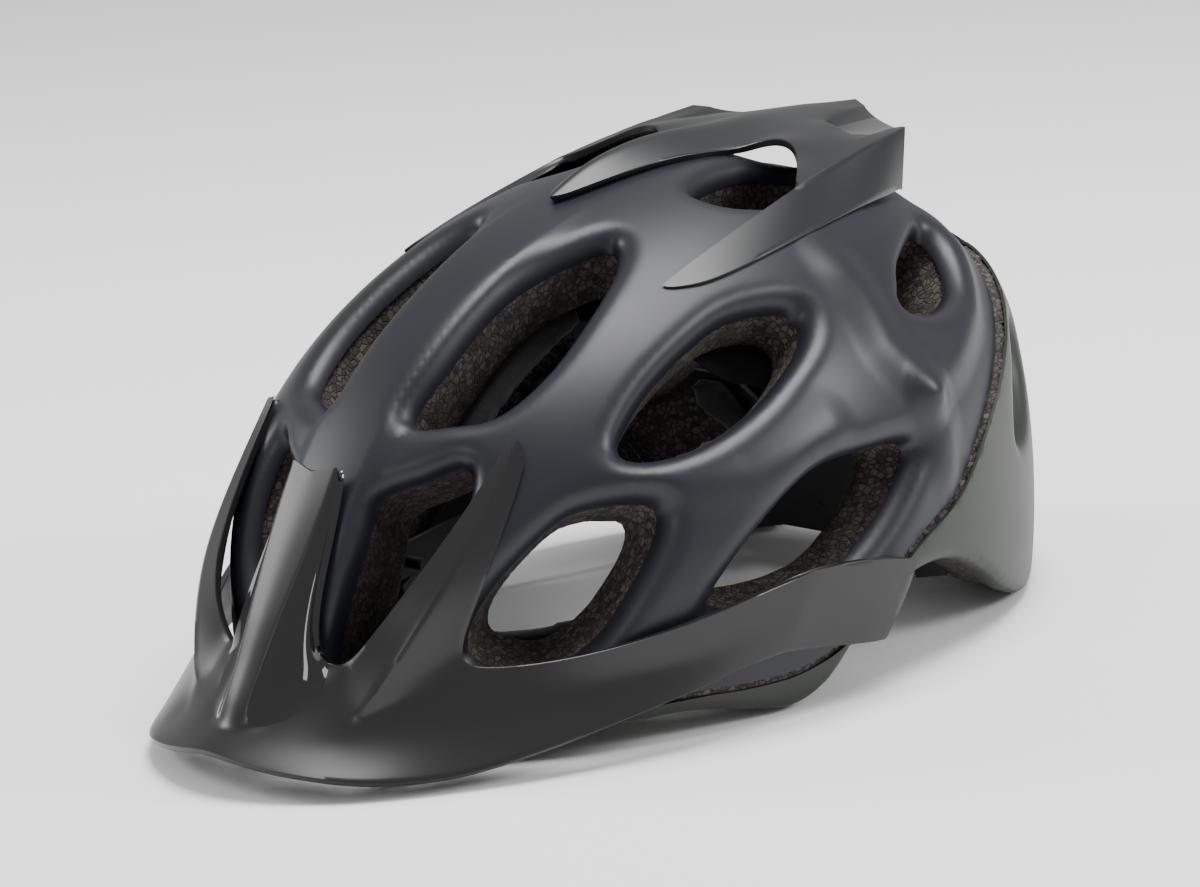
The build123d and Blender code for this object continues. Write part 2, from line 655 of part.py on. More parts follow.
def make_belt_anchors():
    pieces = []
    y, z = belt_pivot
    wall = wall_plane(y, z).origin.X
    foot = block((wall - belt_anchor_out, y - 6, z - 6), (wall + 4, y + 6, z + 6))
    pin = rod(Vector(wall - 1, y, z), Vector(belt_pin_reach, y, z), belt_pin_radius)
    piece = foot + pin
    return gather([piece, mirror(piece, Plane.YZ)]), foot


def make_cradle():
    y0 = cradle_front
    z0 = dial_centre[1]
    plate_part = block((-case_half_width, y0, z0 - case_half_height),
                       (case_half_width, y0 + case_wall, z0 + case_half_height))
    for low, high in ((-case_half_height, -rail_inner), (rail_inner, case_half_height)):
        plate_part = plate_part + block((-case_half_width, y0, z0 + low),
                                        (case_half_width, case_cover_y, z0 + high))
    for side in (1, -1):
        arm = xz_prism([(x * side, z) for x, z in cradle_arm], y0, y0 + case_wall)
        plate_part = plate_part + arm
    hanger = extrude(Face(Wire.make_polygon([Vector(0, y, z) for y, z in hanger_side])),
                     hanger_half_width, dir=(1, 0, 0), both=True)
    slot = block((-hanger_pin_radius - .3, 90, hanger_slot[0]),
                 (hanger_pin_radius + .3, 120, hanger_slot[1]))
    plate_part = plate_part + hanger - slot
    bore = rod(Vector(0, y0 - 1, z0), Vector(0, y0 + 5, z0), spindle_radius + spindle_gap)
    plate_part = plate_part - bore
    for x, z in screw_spots():
        plate_part = plate_part - rod(Vector(x, y0 + 1.5, z), Vector(x, case_cover_y + 1, z), screw_radius)
    return plate_part


def screw_spots():
    z0 = dial_centre[1]
    z = (rail_inner + case_half_height) / 2
    return [(sx * (case_half_width - 4), z0 + sz * z) for sx in (1, -1) for sz in (1, -1)]


def make_dial_cover():
    z0 = dial_centre[1]
    cover = block((-case_half_width, case_cover_y, z0 - case_half_height),
                  (case_half_width, case_cover_y + case_wall, z0 + case_half_height))
    cover = cover - rod(Vector(0, 0, z0), Vector(0, 150, z0), spindle_radius + spindle_gap)
    for x, z in screw_spots():
        cover = cover - rod(Vector(x, 0, z), Vector(x, 150, z), screw_radius + 0.1)
    return cover


def make_cover_screws():
    top = case_cover_y + case_wall
    return gather([rod(Vector(x, top - 5, z), Vector(x, top, z), screw_radius)
                   + rod(Vector(x, top, z), Vector(x, top + 0.8, z), screw_radius * 1.5)
                   for x, z in screw_spots()])


def make_dial_set():
    z0 = dial_centre[1]
    gear_low = cradle_front + case_wall + layer_gap
    gear_high = case_cover_y - layer_gap
    gear = xz_prism(tooth_points(0, z0, math.pi / 2), gear_low, gear_high)
    dial_low = case_cover_y + case_wall + 0.4
    dial_high = dial_low + dial_thick
    shaft = rod(Vector(0, cradle_front + 0.2, z0), Vector(0, dial_high - 2.5, z0), spindle_radius)
    pinion = gear + shaft - rod(Vector(0, dial_low - 1, z0), Vector(0, dial_high, z0), screw_radius)
    dial = rod(Vector(0, dial_low, z0), Vector(0, dial_high, z0), dial_radius)
    dial = dial - rod(Vector(0, dial_low - 1, z0), Vector(0, dial_high - 2.5, z0), spindle_radius)
    dial = dial - rod(Vector(0, dial_low, z0), Vector(0, dial_high + 1, z0), screw_radius)
    dial = dial - rod(Vector(0, dial_high - 1.6, z0), Vector(0, dial_high + 1, z0), 4.2)
    for k in range(dial_grips):
        a = 2 * math.pi * k / dial_grips
        x, z = (dial_radius + 0.6) * math.cos(a), z0 + (dial_radius + 0.6) * math.sin(a)
        dial = dial - rod(Vector(x, dial_low - 1, z), Vector(x, dial_high + 1, z), 1.9)
    screw = rod(Vector(0, dial_low, z0), Vector(0, dial_high - 1.6, z0), screw_radius)
    screw = screw + rod(Vector(0, dial_high - 1.6, z0), Vector(0, dial_high - 0.2, z0), 3.6)
    return dial, pinion, screw


def make_hanger_anchor():
    z = hanger_pin_z
    wall = head_shift + head_half_length
    foot = block((-7, hanger_back, z - 6), (7, wall + 4, z + 6))
    pin = rod(Vector(0, hanger_front - 1.5, z), Vector(0, hanger_back + 1, z), hanger_pin_radius)
    head = rod(Vector(0, hanger_front - 1.5, z), Vector(0, hanger_front, z), 3.8)
    return foot + pin + head, foot


def make_nape_pad(side):
    pad = xz_prism([(x * side, z) for x, z in nape_pad_outline], cradle_front - 0.3 - nape_pad_thick,
                   cradle_front - 0.3)
    return pad


# ---- shells and foam with their seats for the fittings ---------------------------------------------
def make_foam_with_seats():
    foam = make_foam_liner()
    for tool in socket_tools(seat_gap):
        foam = foam - tool
    for path in (front_strap_path, rear_strap_path):
        seat = anchor_block(path, seat_gap)
        foam = foam - seat - mirror(seat, Plane.YZ)
    seat = offset_block(make_belt_anchors()[1])
    foam = foam - seat - mirror(seat, Plane.YZ)
    foam = foam - offset_block(make_hanger_anchor()[1])
    return foam


def offset_block(piece):
    box = piece.bounding_box()
    return block([c - seat_gap for c in box.min], [c + seat_gap for c in box.max])


# ---- assembly --------------------------------------------------------------------------------------
parts = {}
outer_shell = make_outer_shell()
for tool in socket_tools(seat_gap):
    outer_shell = outer_shell - tool
parts["outer_shell"] = outer_shell
parts["lower_shell"] = make_lower_shell()
parts["foam_liner"] = make_foam_with_seats()
parts["rear_wing"] = make_rear_wing()
parts["visor"] = make_visor()
parts["visor_sockets"] = make_visor_sockets()
parts.update(make_pads())
parts["pad_dots"] = make_pad_dots()
parts.update(make_straps())
parts["strap_anchors"] = make_strap_anchors()
divider = make_divider()
parts["divider_left"] = divider
parts["divider_right"] = mirror(divider, Plane.YZ)
lever = make_lever()
parts["lever_left"] = lever
parts["lever_right"] = mirror(lever, Plane.YZ)
parts["buckle_female"], parts["buckle_male"], parts["strap_keeper"] = make_buckle()
belt_low = cradle_front + case_wall + layer_gap
parts["belt_left"] = make_belt(belt_low, 1)
parts["belt_right"] = make_belt(belt_low + belt_thick + layer_gap, -1)
parts["belt_anchors"] = make_belt_anchors()[0]
parts["cradle"] = make_cradle()
parts["dial_cover"] = make_dial_cover()
parts["cover_screws"] = make_cover_screws()
parts["dial"], parts["pinion"], parts["dial_screw"] = make_dial_set()
parts["hanger_anchor"] = make_hanger_anchor()[0]
parts["nape_pad_left"] = make_nape_pad(1)
parts["nape_pad_right"] = make_nape_pad(-1)

# set it down as it stands on a table, origin in the middle of its outline's foot
stood = {name: Rot(X=foot_tilt) * part for name, part in parts.items()}
boxes = [part.bounding_box() for part in stood.values()]
front = min(box.min.Y for box in boxes)
rear = max(box.max.Y for box in boxes)
foot = min(box.min.Z for box in boxes)
move = Pos(0, -(front + rear) / 2, -foot)
print("moved by", 0, round(-(front + rear) / 2, 4), round(-foot, 4), "tilt", round(foot_tilt, 4))

os.makedirs("parts", exist_ok=True)
for name, part in stood.items():
    export_step(move * part, f"parts/{name}.step")
    print(name, len(part.solids()), round(part.volume))
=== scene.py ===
import bmesh
import bpy
import math
import numpy as np
import openvdb
from mathutils import Matrix, Vector


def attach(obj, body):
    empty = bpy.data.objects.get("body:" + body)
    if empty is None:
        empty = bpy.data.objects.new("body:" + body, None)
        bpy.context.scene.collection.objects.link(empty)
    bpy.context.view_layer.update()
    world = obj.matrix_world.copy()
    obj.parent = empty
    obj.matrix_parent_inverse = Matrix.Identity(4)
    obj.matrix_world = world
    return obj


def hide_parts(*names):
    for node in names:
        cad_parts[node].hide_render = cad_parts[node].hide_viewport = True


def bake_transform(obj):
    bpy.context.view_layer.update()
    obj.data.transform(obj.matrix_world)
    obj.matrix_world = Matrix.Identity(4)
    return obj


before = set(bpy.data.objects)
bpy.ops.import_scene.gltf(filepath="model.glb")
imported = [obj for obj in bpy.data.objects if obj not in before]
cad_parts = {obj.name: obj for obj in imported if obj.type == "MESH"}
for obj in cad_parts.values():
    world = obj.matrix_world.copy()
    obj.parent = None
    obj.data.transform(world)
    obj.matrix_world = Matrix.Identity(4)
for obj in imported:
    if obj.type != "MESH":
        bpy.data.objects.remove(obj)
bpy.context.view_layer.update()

# Shapes are drawn in millimetres in the wearer's frame: front -y, left +x, crown +z, origin in the
# middle of the shell's widest level. toRow stands them up on the table in metres.
stand = {"tilt": math.radians(12.7172), "y": 15.1391, "z": 51.1171}
dome = {"width": 103.0, "length": 146.5, "rise": 95.0, "drop": 190.0}
wrap = {"width": 104.0, "length": 146.5, "rise": 95.0, "drop": 190.0, "shift": 5.0}
head = {"width": 78.0, "length": 108.0, "rise": 69.0, "shift": 2.0}
filmWall = 1.0


def toRow(points):
    p = np.asarray(points, float)
    c, s = math.cos(stand["tilt"]), math.sin(stand["tilt"])
    y = p[..., 1] * c - p[..., 2] * s + stand["y"]
    z = p[..., 1] * s + p[..., 2] * c + stand["z"]
    return np.stack([p[..., 0], y, z], -1) / 1000.0


def toLinear(code):
    out = []
    for i in (1, 3, 5):
        c = int(code[i:i + 2], 16) / 255
        out.append(c / 12.92 if c <= 0.04045 else ((c + 0.055) / 1.055) ** 2.4)
    return (*out, 1.0)


def addNode(mat, kind, ins=None, **settings):
    node = mat.node_tree.nodes.new(kind)
    for key, value in settings.items():
        setattr(node, key, value)
    for key, value in (ins or {}).items():
        if isinstance(value, bpy.types.NodeSocket):
            mat.node_tree.links.new(value, node.inputs[key])
        else:
            node.inputs[key].default_value = value
    return node


def newMaterial(name, color, rough, **sockets):
    mat = bpy.data.materials.new(name)
    mat.use_nodes = True
    shader = mat.node_tree.nodes["Principled BSDF"]
    shader.inputs["Base Color"].default_value = toLinear(color)
    shader.inputs["Roughness"].default_value = rough
    for key, value in sockets.items():
        shader.inputs[key.replace("_", " ")].default_value = value
    return mat, shader


def objectCoords(mat):
    return addNode(mat, "ShaderNodeTexCoord").outputs["Object"]


# Fine random relief, size in metres from bump to bump
def addGrain(mat, shader, size, height, strength=1.0):
    noise = addNode(mat, "ShaderNodeTexNoise", {"Vector": objectCoords(mat), "Scale": 1 / size,
                    "Detail": 3.0, "Roughness": 0.6})
    bump = addNode(mat, "ShaderNodeBump", {"Height": noise.outputs["Fac"], "Distance": height,
                   "Strength": strength})
    mat.node_tree.links.new(bump.outputs["Normal"], shader.inputs["Normal"])
    return noise


def satinFilm(name, color, rough):
    # polycarbonate film, vacuum formed and moulded onto the foam; tinted inside, soft satin face
    mat, shader = newMaterial(name, color, rough)
    shader.inputs["Specular IOR Level"].default_value = 0.38
    wear = addNode(mat, "ShaderNodeTexNoise", {"Vector": objectCoords(mat), "Scale": 18.0, "Detail": 4.0})
    ramp = addNode(mat, "ShaderNodeMapRange", {"Value": wear.outputs["Fac"], "From Min": 0.3,
                   "From Max": 0.7, "To Min": rough - 0.03, "To Max": rough + 0.04})
    mat.node_tree.links.new(ramp.outputs["Result"], shader.inputs["Roughness"])
    addGrain(mat, shader, 0.0006, 0.00001, 0.25)
    return mat


shellFilm = satinFilm("Polycarbonate film satin slate, vacuum formed", "#191b22", 0.4)
lowerFilm = satinFilm("Polycarbonate film matte grey-green, vacuum formed", "#222722", 0.46)


def foamMaterial():
    # expanded polystyrene, steam fused beads with a dense moulded skin
    mat, shader = newMaterial("Expanded polystyrene black, steam moulded", "#25231f", 0.82)
    coords = objectCoords(mat)
    cells = addNode(mat, "ShaderNodeTexVoronoi", {"Vector": coords, "Scale": 1 / 0.0021,
                    "Randomness": 1.0}, feature="DISTANCE_TO_EDGE")
    tone = addNode(mat, "ShaderNodeTexVoronoi", {"Vector": coords, "Scale": 1 / 0.0021,
                   "Randomness": 1.0})
    mix = addNode(mat, "ShaderNodeMapRange", {"Value": tone.outputs["Color"], "To Min": 0.0, "To Max": 1.0})
    ramp = addNode(mat, "ShaderNodeValToRGB", {"Fac": mix.outputs["Result"]})
    ramp.color_ramp.elements[0].color = toLinear("#171512")
    ramp.color_ramp.elements[1].color = toLinear("#5b554b")
    edge = addNode(mat, "ShaderNodeMapRange", {"Value": cells.outputs["Distance"], "From Max": 0.14})
    darker = addNode(mat, "ShaderNodeMixRGB", {"Fac": edge.outputs["Result"],
                     "Color1": toLinear("#0d0c0a"), "Color2": ramp.outputs["Color"]})
    mat.node_tree.links.new(darker.outputs["Color"], shader.inputs["Base Color"])
    bump = addNode(mat, "ShaderNodeBump", {"Height": edge.outputs["Result"], "Distance": 0.00022,
                   "Strength": 0.8})
    mat.node_tree.links.new(bump.outputs["Normal"], shader.inputs["Normal"])
    return mat


foam = foamMaterial()


def mouldedPlastic(name, color, rough, grain=0.0005, depth=0.000012):
    mat, shader = newMaterial(name, color, rough)
    shader.inputs["Specular IOR Level"].default_value = 0.42
    addGrain(mat, shader, grain, depth, 0.35)
    return mat


# ABS, injection moulded in a finely eroded tool, so satin; the scoops come from polished inserts
visorSatin = mouldedPlastic("ABS satin warm grey, injection moulded", "#1a1a1b", 0.34)
# the same ABS left glossy by a polished insert in the tool
visorGloss, _ = newMaterial("ABS gloss black, polished tool insert", "#0d0d0f", 0.07, Coat_Weight=0.6)
wingSatin = mouldedPlastic("ABS satin dark grey, injection moulded", "#18191b", 0.34)
# nylon for anchors, belts and cradle, acetal for what slides or clicks, both injection moulded
nylonBlack = mouldedPlastic("Nylon black, injection moulded", "#141416", 0.45)
acetalBlack = mouldedPlastic("Acetal black, injection moulded", "#111113", 0.38)
# silicone rubber, compression moulded, soft and dull
siliconeBlack = mouldedPlastic("Silicone rubber black, moulded", "#0c0c0d", 0.7)
# steel screws, cold headed and blackened
steelBlack, _ = newMaterial("Steel blackened, cold headed", "#3a3a3d", 0.4, Metallic=1.0)


# Vents of the left side, each with its place on the dome, its axis out, its long direction and its
# outline along and across that; the right side mirrors them.
vents = {
    "crownFront": dict(at=(29, -59, 83), out=(.28, -.28, .92), along=(.04, .96, .28),
        outline=[(-42, 10), (-21, 12), (14, 13), (37, 8), (50, 0), (35, -10), (-1, -17), (-26, -14),
                 (-37, -3)]),
    "sideUpper": dict(at=(78, -30, 59), out=(.74, -.14, .66), along=(.06, .99, .14),
        outline=[(-41, 3), (-23, 10), (2, 13), (24, 12), (44, 2), (38, -8), (10, -14), (-16, -13),
                 (-35, -6)]),
    "brow": dict(at=(29, -127, 39), out=(.35, -.76, .56), along=(.27, .65, .71),
        outline=[(-1, 12), (13, 16), (25, 6), (35, -4), (22, -11), (0, -13), (-18, -10), (-36, -3),
                 (-40, 4), (-28, 7)]),
    "temple": dict(at=(72, -99, 23), out=(.79, -.54, .3), along=(.38, .81, .45),
        outline=[(6, 18), (21, 14), (38, 0), (34, -8), (13, -15), (-8, -19), (-30, -15), (-42, 2),
                 (-40, 11), (-23, 17)]),
    "sideLower": dict(at=(102, -20, 7), out=(.99, -.1, .08), along=(.09, .99, .11),
        outline=[(2, 18), (26, 13), (51, 2), (40, -7), (15, -15), (-9, -16), (-41, -7), (-52, 1),
                 (-29, 12)]),
    "rearUpper": dict(at=(73, 76, 45), out=(.75, .38, .54), along=(-.46, .89, 0),
        outline=[(25, 7), (24, -2), (7, -10), (-12, -8), (-24, 1), (-19, 5), (-4, 9)]),
    "crownRear": dict(at=(34, 52, 83), out=(.26, .19, .95), along=(.02, .98, -.2),
        outline=[(-24, 7), (0, 12), (22, 10), (30, 0), (20, -9), (-4, -13), (-22, -6)]),
    "rearMiddle": dict(at=(30, 124, 41), out=(.28, .68, .68), along=(.1, -.72, .68),
        outline=[(-17, 4), (0, 11), (16, 8), (20, 0), (12, -9), (-4, -10), (-16, -5)]),
    "napeSide": dict(at=(77, 104, -6), out=(.72, .69, 0), along=(-.6, .62, .5),
        outline=[(-20, 0), (-8, 8), (10, 9), (21, 1), (10, -8), (-9, -8)]),
    "napeMiddle": dict(at=(24, 147, -12), out=(.16, .99, 0), along=(.35, 0, .94),
        outline=[(-15, 2), (-3, 9), (12, 7), (17, 0), (9, -9), (-6, -9)]),
}
ventShape = {"reachOut": 26.0, "reachIn": 62.0, "flareOut": 1.22, "flareIn": 0.62, "lip": 9.0,
             "closeIn": {"temple": 0.0150, "sideLower": 0.0125, "sideUpper": 0.0095}}
rimLine = np.array([(-175, -6), (-150, -12), (-120, -17), (-93, -24), (-76, -28), (-60, -35), (-46, -41),
                    (-33, -40), (-20, -32), (-8, -26), (10, -23), (29, -28), (45, -40), (61, -56),
                    (80, -69), (96, -74), (114, -74), (130, -66), (150, -52), (175, -30)], float)
seamLine = np.array([(-175, 0), (-150, -5), (-98, -17), (-75, -22), (-57, -27), (-40, -30), (-21, -28),
                     (6, -16), (17, -13), (40, -9), (65, 2), (92, 12), (120, 20), (150, 26),
                     (175, 30)], float)


# Catmull-Rom curve through points
def smoothCurve(points, steps, closed):
    p = np.asarray(points, float)
    n = len(p)
    out = []
    for i in range(n if closed else n - 1):
        if closed:
            a, b, c, d = p[i - 1], p[i], p[(i + 1) % n], p[(i + 2) % n]
        else:
            a, b, c, d = p[max(i - 1, 0)], p[i], p[i + 1], p[min(i + 2, n - 1)]
        t = np.linspace(0, 1, steps, endpoint=False)[:, None]
        out.append(0.5 * (2 * b + (c - a) * t + (2 * a - 5 * b + 4 * c - d) * t ** 2
                          + (3 * b - a - 3 * c + d) * t ** 3))
    if not closed:
        out.append(p[-1:])
    return np.concatenate(out)


# Signed distance to a closed curve, looked up in a table; negative inside
class Outline:

    def __init__(self, points, margin=34.0, step=1.0):
        loop = smoothCurve(points, 10, True)
        self.low = loop.min(0) - margin
        size = np.ceil((loop.max(0) + margin - self.low) / step).astype(int) + 1
        self.step = step
        u, v = np.meshgrid(self.low[0] + np.arange(size[0]) * step,
                           self.low[1] + np.arange(size[1]) * step, indexing="ij")
        near = np.full(u.shape, 1e9)
        inside = np.zeros(u.shape, bool)
        for a, b in zip(loop, np.roll(loop, -1, 0)):
            d = b - a
            t = np.clip(((u - a[0]) * d[0] + (v - a[1]) * d[1]) / (d @ d), 0, 1)
            near = np.minimum(near, (u - a[0] - t * d[0]) ** 2 + (v - a[1] - t * d[1]) ** 2)
            crossing = (a[1] > v) != (b[1] > v)
            with np.errstate(divide="ignore", invalid="ignore"):
                x = a[0] + (v - a[1]) * d[0] / d[1]
            inside ^= crossing & (u < x)
        self.table = np.where(inside, -1, 1) * np.sqrt(near)

    def __call__(self, u, v):
        x = np.clip((u - self.low[0]) / self.step, 0, self.table.shape[0] - 1.001)
        y = np.clip((v - self.low[1]) / self.step, 0, self.table.shape[1] - 1.001)
        i, j = x.astype(int), y.astype(int)
        fx, fy = x - i, y - j
        t = self.table
        return ((t[i, j] * (1 - fx) + t[i + 1, j] * fx) * (1 - fy)
                + (t[i, j + 1] * (1 - fx) + t[i + 1, j + 1] * fx) * fy)


def unit(v):
    v = np.asarray(v, float)
    return v / np.linalg.norm(v)


def prepareVent(vent):
    out, along = unit(vent["out"]), np.asarray(vent["along"], float)
    along = unit(along - out * (along @ out))
    vent["axes"] = np.stack([along, np.cross(out, along), out])
    vent["field"] = Outline(vent["outline"])
    vent["radius"] = np.abs(np.asarray(vent["outline"], float)).max() + 14


for vent in vents.values():
    prepareVent(vent)


def smoothMax(a, b, k):
    h = np.clip(k - np.abs(a - b), 0, None) / k
    return np.maximum(a, b) + h * h * k / 4


# First-order distance to an ellipsoid about the origin, negative inside
def ellipsoidDistance(x, y, z, width, length, depth):
    k = np.sqrt((x / width) ** 2 + (y / length) ** 2 + (z / depth) ** 2) + 1e-9
    g = np.sqrt((x / width ** 2) ** 2 + (y / length ** 2) ** 2 + (z / depth ** 2) ** 2) + 1e-9
    return (k - 1) * k / g


def domeDistance(p, shape, shift=0.0):
    depth = np.where(p[:, 2] > 0, shape["rise"], shape["drop"])
    return ellipsoidDistance(p[:, 0], p[:, 1] - shift, p[:, 2], shape["width"], shape["length"], depth)


def headDistance(p):
    z = np.maximum(p[:, 2], 0)
    y = p[:, 1] - head["shift"]
    return ellipsoidDistance(p[:, 0], y, z, head["width"], head["length"], head["rise"])


def lineHeight(line, y):
    curve = smoothCurve(line, 12, False)
    return np.interp(y, curve[:, 0], curve[:, 1])


# 1 on a path drawn in plan, falling to 0 at width
def blobRidge(x, y, path, width):
    best = np.full(x.shape, 1e9)
    for a, b in zip(path[:-1], path[1:]):
        d = np.subtract(b, a)
        t = np.clip(((x - a[0]) * d[0] + (y - a[1]) * d[1]) / (d @ d), 0, 1)
        best = np.minimum(best, np.hypot(x - a[0] - t * d[0], y - a[1] - t * d[1]))
    return np.clip(1 - best / width, 0, 1)


# Pressed ridges of the shell's side, as (y, z) paths with their half width and height.
reliefSize = {"rib": 1.8, "valley": 6.0}
sideRidges = [([(36, 62), (31, 44), (37, 26)], 14, 2.4),
              ([(37, 26), (60, 27), (84, 31), (104, 40)], 13, 2.0),
              ([(37, 26), (40, 12), (36, 0)], 12, 1.6), ([(-72, 44), (-40, 34), (-8, 34)], 13, 1.4)]


# Ribs pressed into the shell: how far it stands out of the plain dome
def relief(p):
    x, y, z = np.abs(p[:, 0]), p[:, 1], p[:, 2]
    # the rib fades out to the sides and rearward, the valley behind the crown on all sides
    centre = np.clip((18 - x) / 6, 0, 1) * np.clip((10 - y) / 60, 0, 1) * (z > 0)
    rise = reliefSize["rib"] * centre * centre * (3 - 2 * centre)
    hollow = np.clip((31 - x) / 16, 0, 1) * np.clip((y - 56) / 26, 0, 1)
    hollow *= np.clip((140 - y) / 20, 0, 1) * (z > 0)
    rise -= reliefSize["valley"] * hollow * hollow * (3 - 2 * hollow)
    flank = (x > 40) & (z > -25)
    if flank.any():
        for path, width, height in sideRidges:
            near = blobRidge(y[flank], z[flank], path, width)
            rise[flank] += height * near * near * (3 - 2 * near)
    return rise


# The shell before its vents: the dome, and the lower wrap below the seam
def outerDistance(p):
    seam = lineHeight(seamLine, p[:, 1])
    upper = domeDistance(p, dome) - relief(p)
    lower = np.maximum(domeDistance(p, wrap, wrap["shift"]), (p[:, 2] - seam) * cutSize["seamScale"])
    return np.minimum(upper, lower)


# Distance to the nearest vent, negative inside
def ventDistance(p):
    best = np.full(len(p), 40.0)
    q = p.copy()
    q[:, 0] = np.abs(q[:, 0])
    for name, vent in vents.items():
        local = (q - np.asarray(vent["at"], float)) @ vent["axes"].T
        near = np.hypot(local[:, 0], local[:, 1]) < vent["radius"] + 12
        near &= (local[:, 2] > -72) & (local[:, 2] < 40)
        if not near.any():
            continue
        u, v, w = local[near].T
        rise = (ventShape["flareOut"] - 1) / ventShape["reachOut"]
        fall = ventShape["closeIn"].get(name, (1 - ventShape["flareIn"]) / ventShape["reachIn"])
        size = np.where(w > 0, 1 + w * rise, np.maximum(1 + w * fall, 0.55))
        d = vent["field"](u / size, v / size) * size
        d = np.maximum(d, -ventShape["reachIn"] - w)
        best[near] = np.minimum(best[near], d)
    return best


archSize = {"half": 30.0, "top": -44.0, "slope": 14.0, "lean": 0.22, "spread": 14, "front": 60}


# The arch in the rim behind the dial, negative inside
def archDistance(p):
    half, top, slope = archSize["half"], archSize["top"], archSize["slope"]
    x, z = np.abs(p[:, 0]), p[:, 2]
    side = x - half - np.clip((top - slope - z) * archSize["lean"], 0, archSize["spread"])
    roof = z - top
    corner = (x - half + z - top + slope) * 0.707
    d = np.maximum(np.maximum(side, roof), corner)
    return np.where(p[:, 1] > archSize["front"], d, 30.0)


pegHoles = {"spots": [(0, -146.1, 7), (38, -136.2, 2)], "radius": 4.95, "depth": 17.2}


# Round seats behind the visor's three pegs, along the visor's pull; negative inside
def pegHoleDistance(p):
    q = p.copy()
    q[:, 0] = np.abs(q[:, 0])
    pull = np.array([0, -math.cos(stand["tilt"]), math.sin(stand["tilt"])])
    best = np.full(len(p), 30.0)
    for spot in pegHoles["spots"]:
        away = q - np.array(spot, float)
        along = away @ pull
        ring = np.sqrt(np.maximum((away * away).sum(1) - along ** 2, 0)) - pegHoles["radius"]
        best = np.minimum(best, np.maximum(ring, -pegHoles["depth"] - along))
    return best


# Roundings where cuts meet the moulding, and what turns a height into a distance on its slope.
cutSize = {"round": 5.0, "holeRound": 1.5, "rimScale": 0.88, "seamScale": 0.9}


# The whole moulding: shell outside, hollow inside, vents and rim cut; negative inside
def bodyDistance(p):
    d = smoothMax(outerDistance(p), -ventDistance(p), ventShape["lip"])
    d = smoothMax(d, -headDistance(p), cutSize["round"])
    rim = (lineHeight(rimLine, p[:, 1]) - p[:, 2]) * cutSize["rimScale"]
    d = smoothMax(d, rim, cutSize["round"])
    d = smoothMax(d, -pegHoleDistance(p), cutSize["holeRound"])
    return smoothMax(d, -archDistance(p), cutSize["round"])


def fieldNormal(p, field):
    e = 0.25
    out = np.empty_like(p)
    for i in range(3):
        step = np.zeros(3)
        step[i] = e
        out[:, i] = (field(p + step) - field(p - step)) / (2 * e)
    return out


# Quads on the surface where bodyDistance is level
def meshField(step, level, low, high):
    low, high = np.array(low, float), np.array(high, float)
    size = np.ceil((high - low) / step).astype(int) + 1
    values = np.empty(size, np.float32)
    y, z = np.meshgrid(low[1] + np.arange(size[1]) * step, low[2] + np.arange(size[2]) * step, indexing="ij")
    for i in range(size[0]):
        p = np.stack([np.full(y.size, low[0] + i * step), y.ravel(), z.ravel()], 1)
        values[i] = bodyDistance(p).reshape(y.shape)
    grid = openvdb.FloatGrid(1000.0)
    grid.copyFromArray(np.clip(values, -6, 6))
    points, quads = grid.convertToQuads(isovalue=level)
    p = points.astype(float) * step + low
    for _ in range(2):
        n = fieldNormal(p, bodyDistance)
        square = np.maximum((n * n).sum(1), 0.05)
        move = (bodyDistance(p) - level) / square
        p -= n * np.clip(move, -step, step)[:, None]
    return p, np.asarray(quads, int)


# Cuts triangles along value = 0 and keeps the positive side
def keepPositive(p, tris, value):
    inside = value[tris] > 0
    count = inside.sum(1)
    keep = [tris[count == 3]]
    edges = {}
    newPoints = []

    def cutPoint(a, b):
        key = (min(a, b), max(a, b))
        if key not in edges:
            t = value[a] / (value[a] - value[b])
            newPoints.append(p[a] + (p[b] - p[a]) * t)
            edges[key] = len(p) + len(newPoints) - 1
        return edges[key]

    extra = []
    for tri, flags in zip(tris[count == 1], inside[count == 1]):
        i = int(np.argmax(flags))
        a, b, c = tri[i], tri[(i + 1) % 3], tri[(i + 2) % 3]
        extra.append((a, cutPoint(a, b), cutPoint(a, c)))
    for tri, flags in zip(tris[count == 2], inside[count == 2]):
        i = int(np.argmin(flags))
        a, b, c = tri[i], tri[(i + 1) % 3], tri[(i + 2) % 3]
        x, y = cutPoint(a, b), cutPoint(a, c)
        extra += [(x, b, c), (x, c, y)]
    if extra:
        keep.append(np.array(extra, int))
    allTris = np.concatenate(keep)
    allPoints = np.concatenate([p, np.array(newPoints)]) if newPoints else p
    used, index = np.unique(allTris, return_inverse=True)
    return allPoints[used], index.reshape(-1, 3)


# Closes a patch into a wall: p is its outer side
def thicken(p, tris, inward, thick):
    n = len(p)
    back = p + inward * thick
    edges = np.concatenate([tris[:, [0, 1]], tris[:, [1, 2]], tris[:, [2, 0]]])
    key = np.sort(edges, 1)
    _, first, count = np.unique(key, axis=0, return_index=True, return_counts=True)
    rim = edges[first[count == 1]]
    faces = [tuple(t) for t in tris] + [tuple(t + n) for t in tris[:, ::-1]]
    faces += [(b, a, a + n, b + n) for a, b in rim]
    return np.concatenate([p, back]), faces


def linkObject(name, data):
    obj = bpy.data.objects.new(name, data)
    bpy.context.scene.collection.objects.link(obj)
    return obj


def shadeSmooth(mesh, sharp):
    mesh.shade_smooth()
    mesh.set_sharp_from_angle(angle=math.radians(sharp))


def makeObject(name, points, faces, materials, body, nodes=(), sharp=35.0):
    mesh = bpy.data.meshes.new(name)
    mesh.from_pydata(toRow(points).tolist(), [], [tuple(int(i) for i in f) for f in faces])
    mesh.validate()
    for mat in materials if isinstance(materials, (list, tuple)) else [materials]:
        mesh.materials.append(mat)
    shadeSmooth(mesh, sharp)
    obj = linkObject(name, mesh)
    place(obj, body, nodes)
    return obj


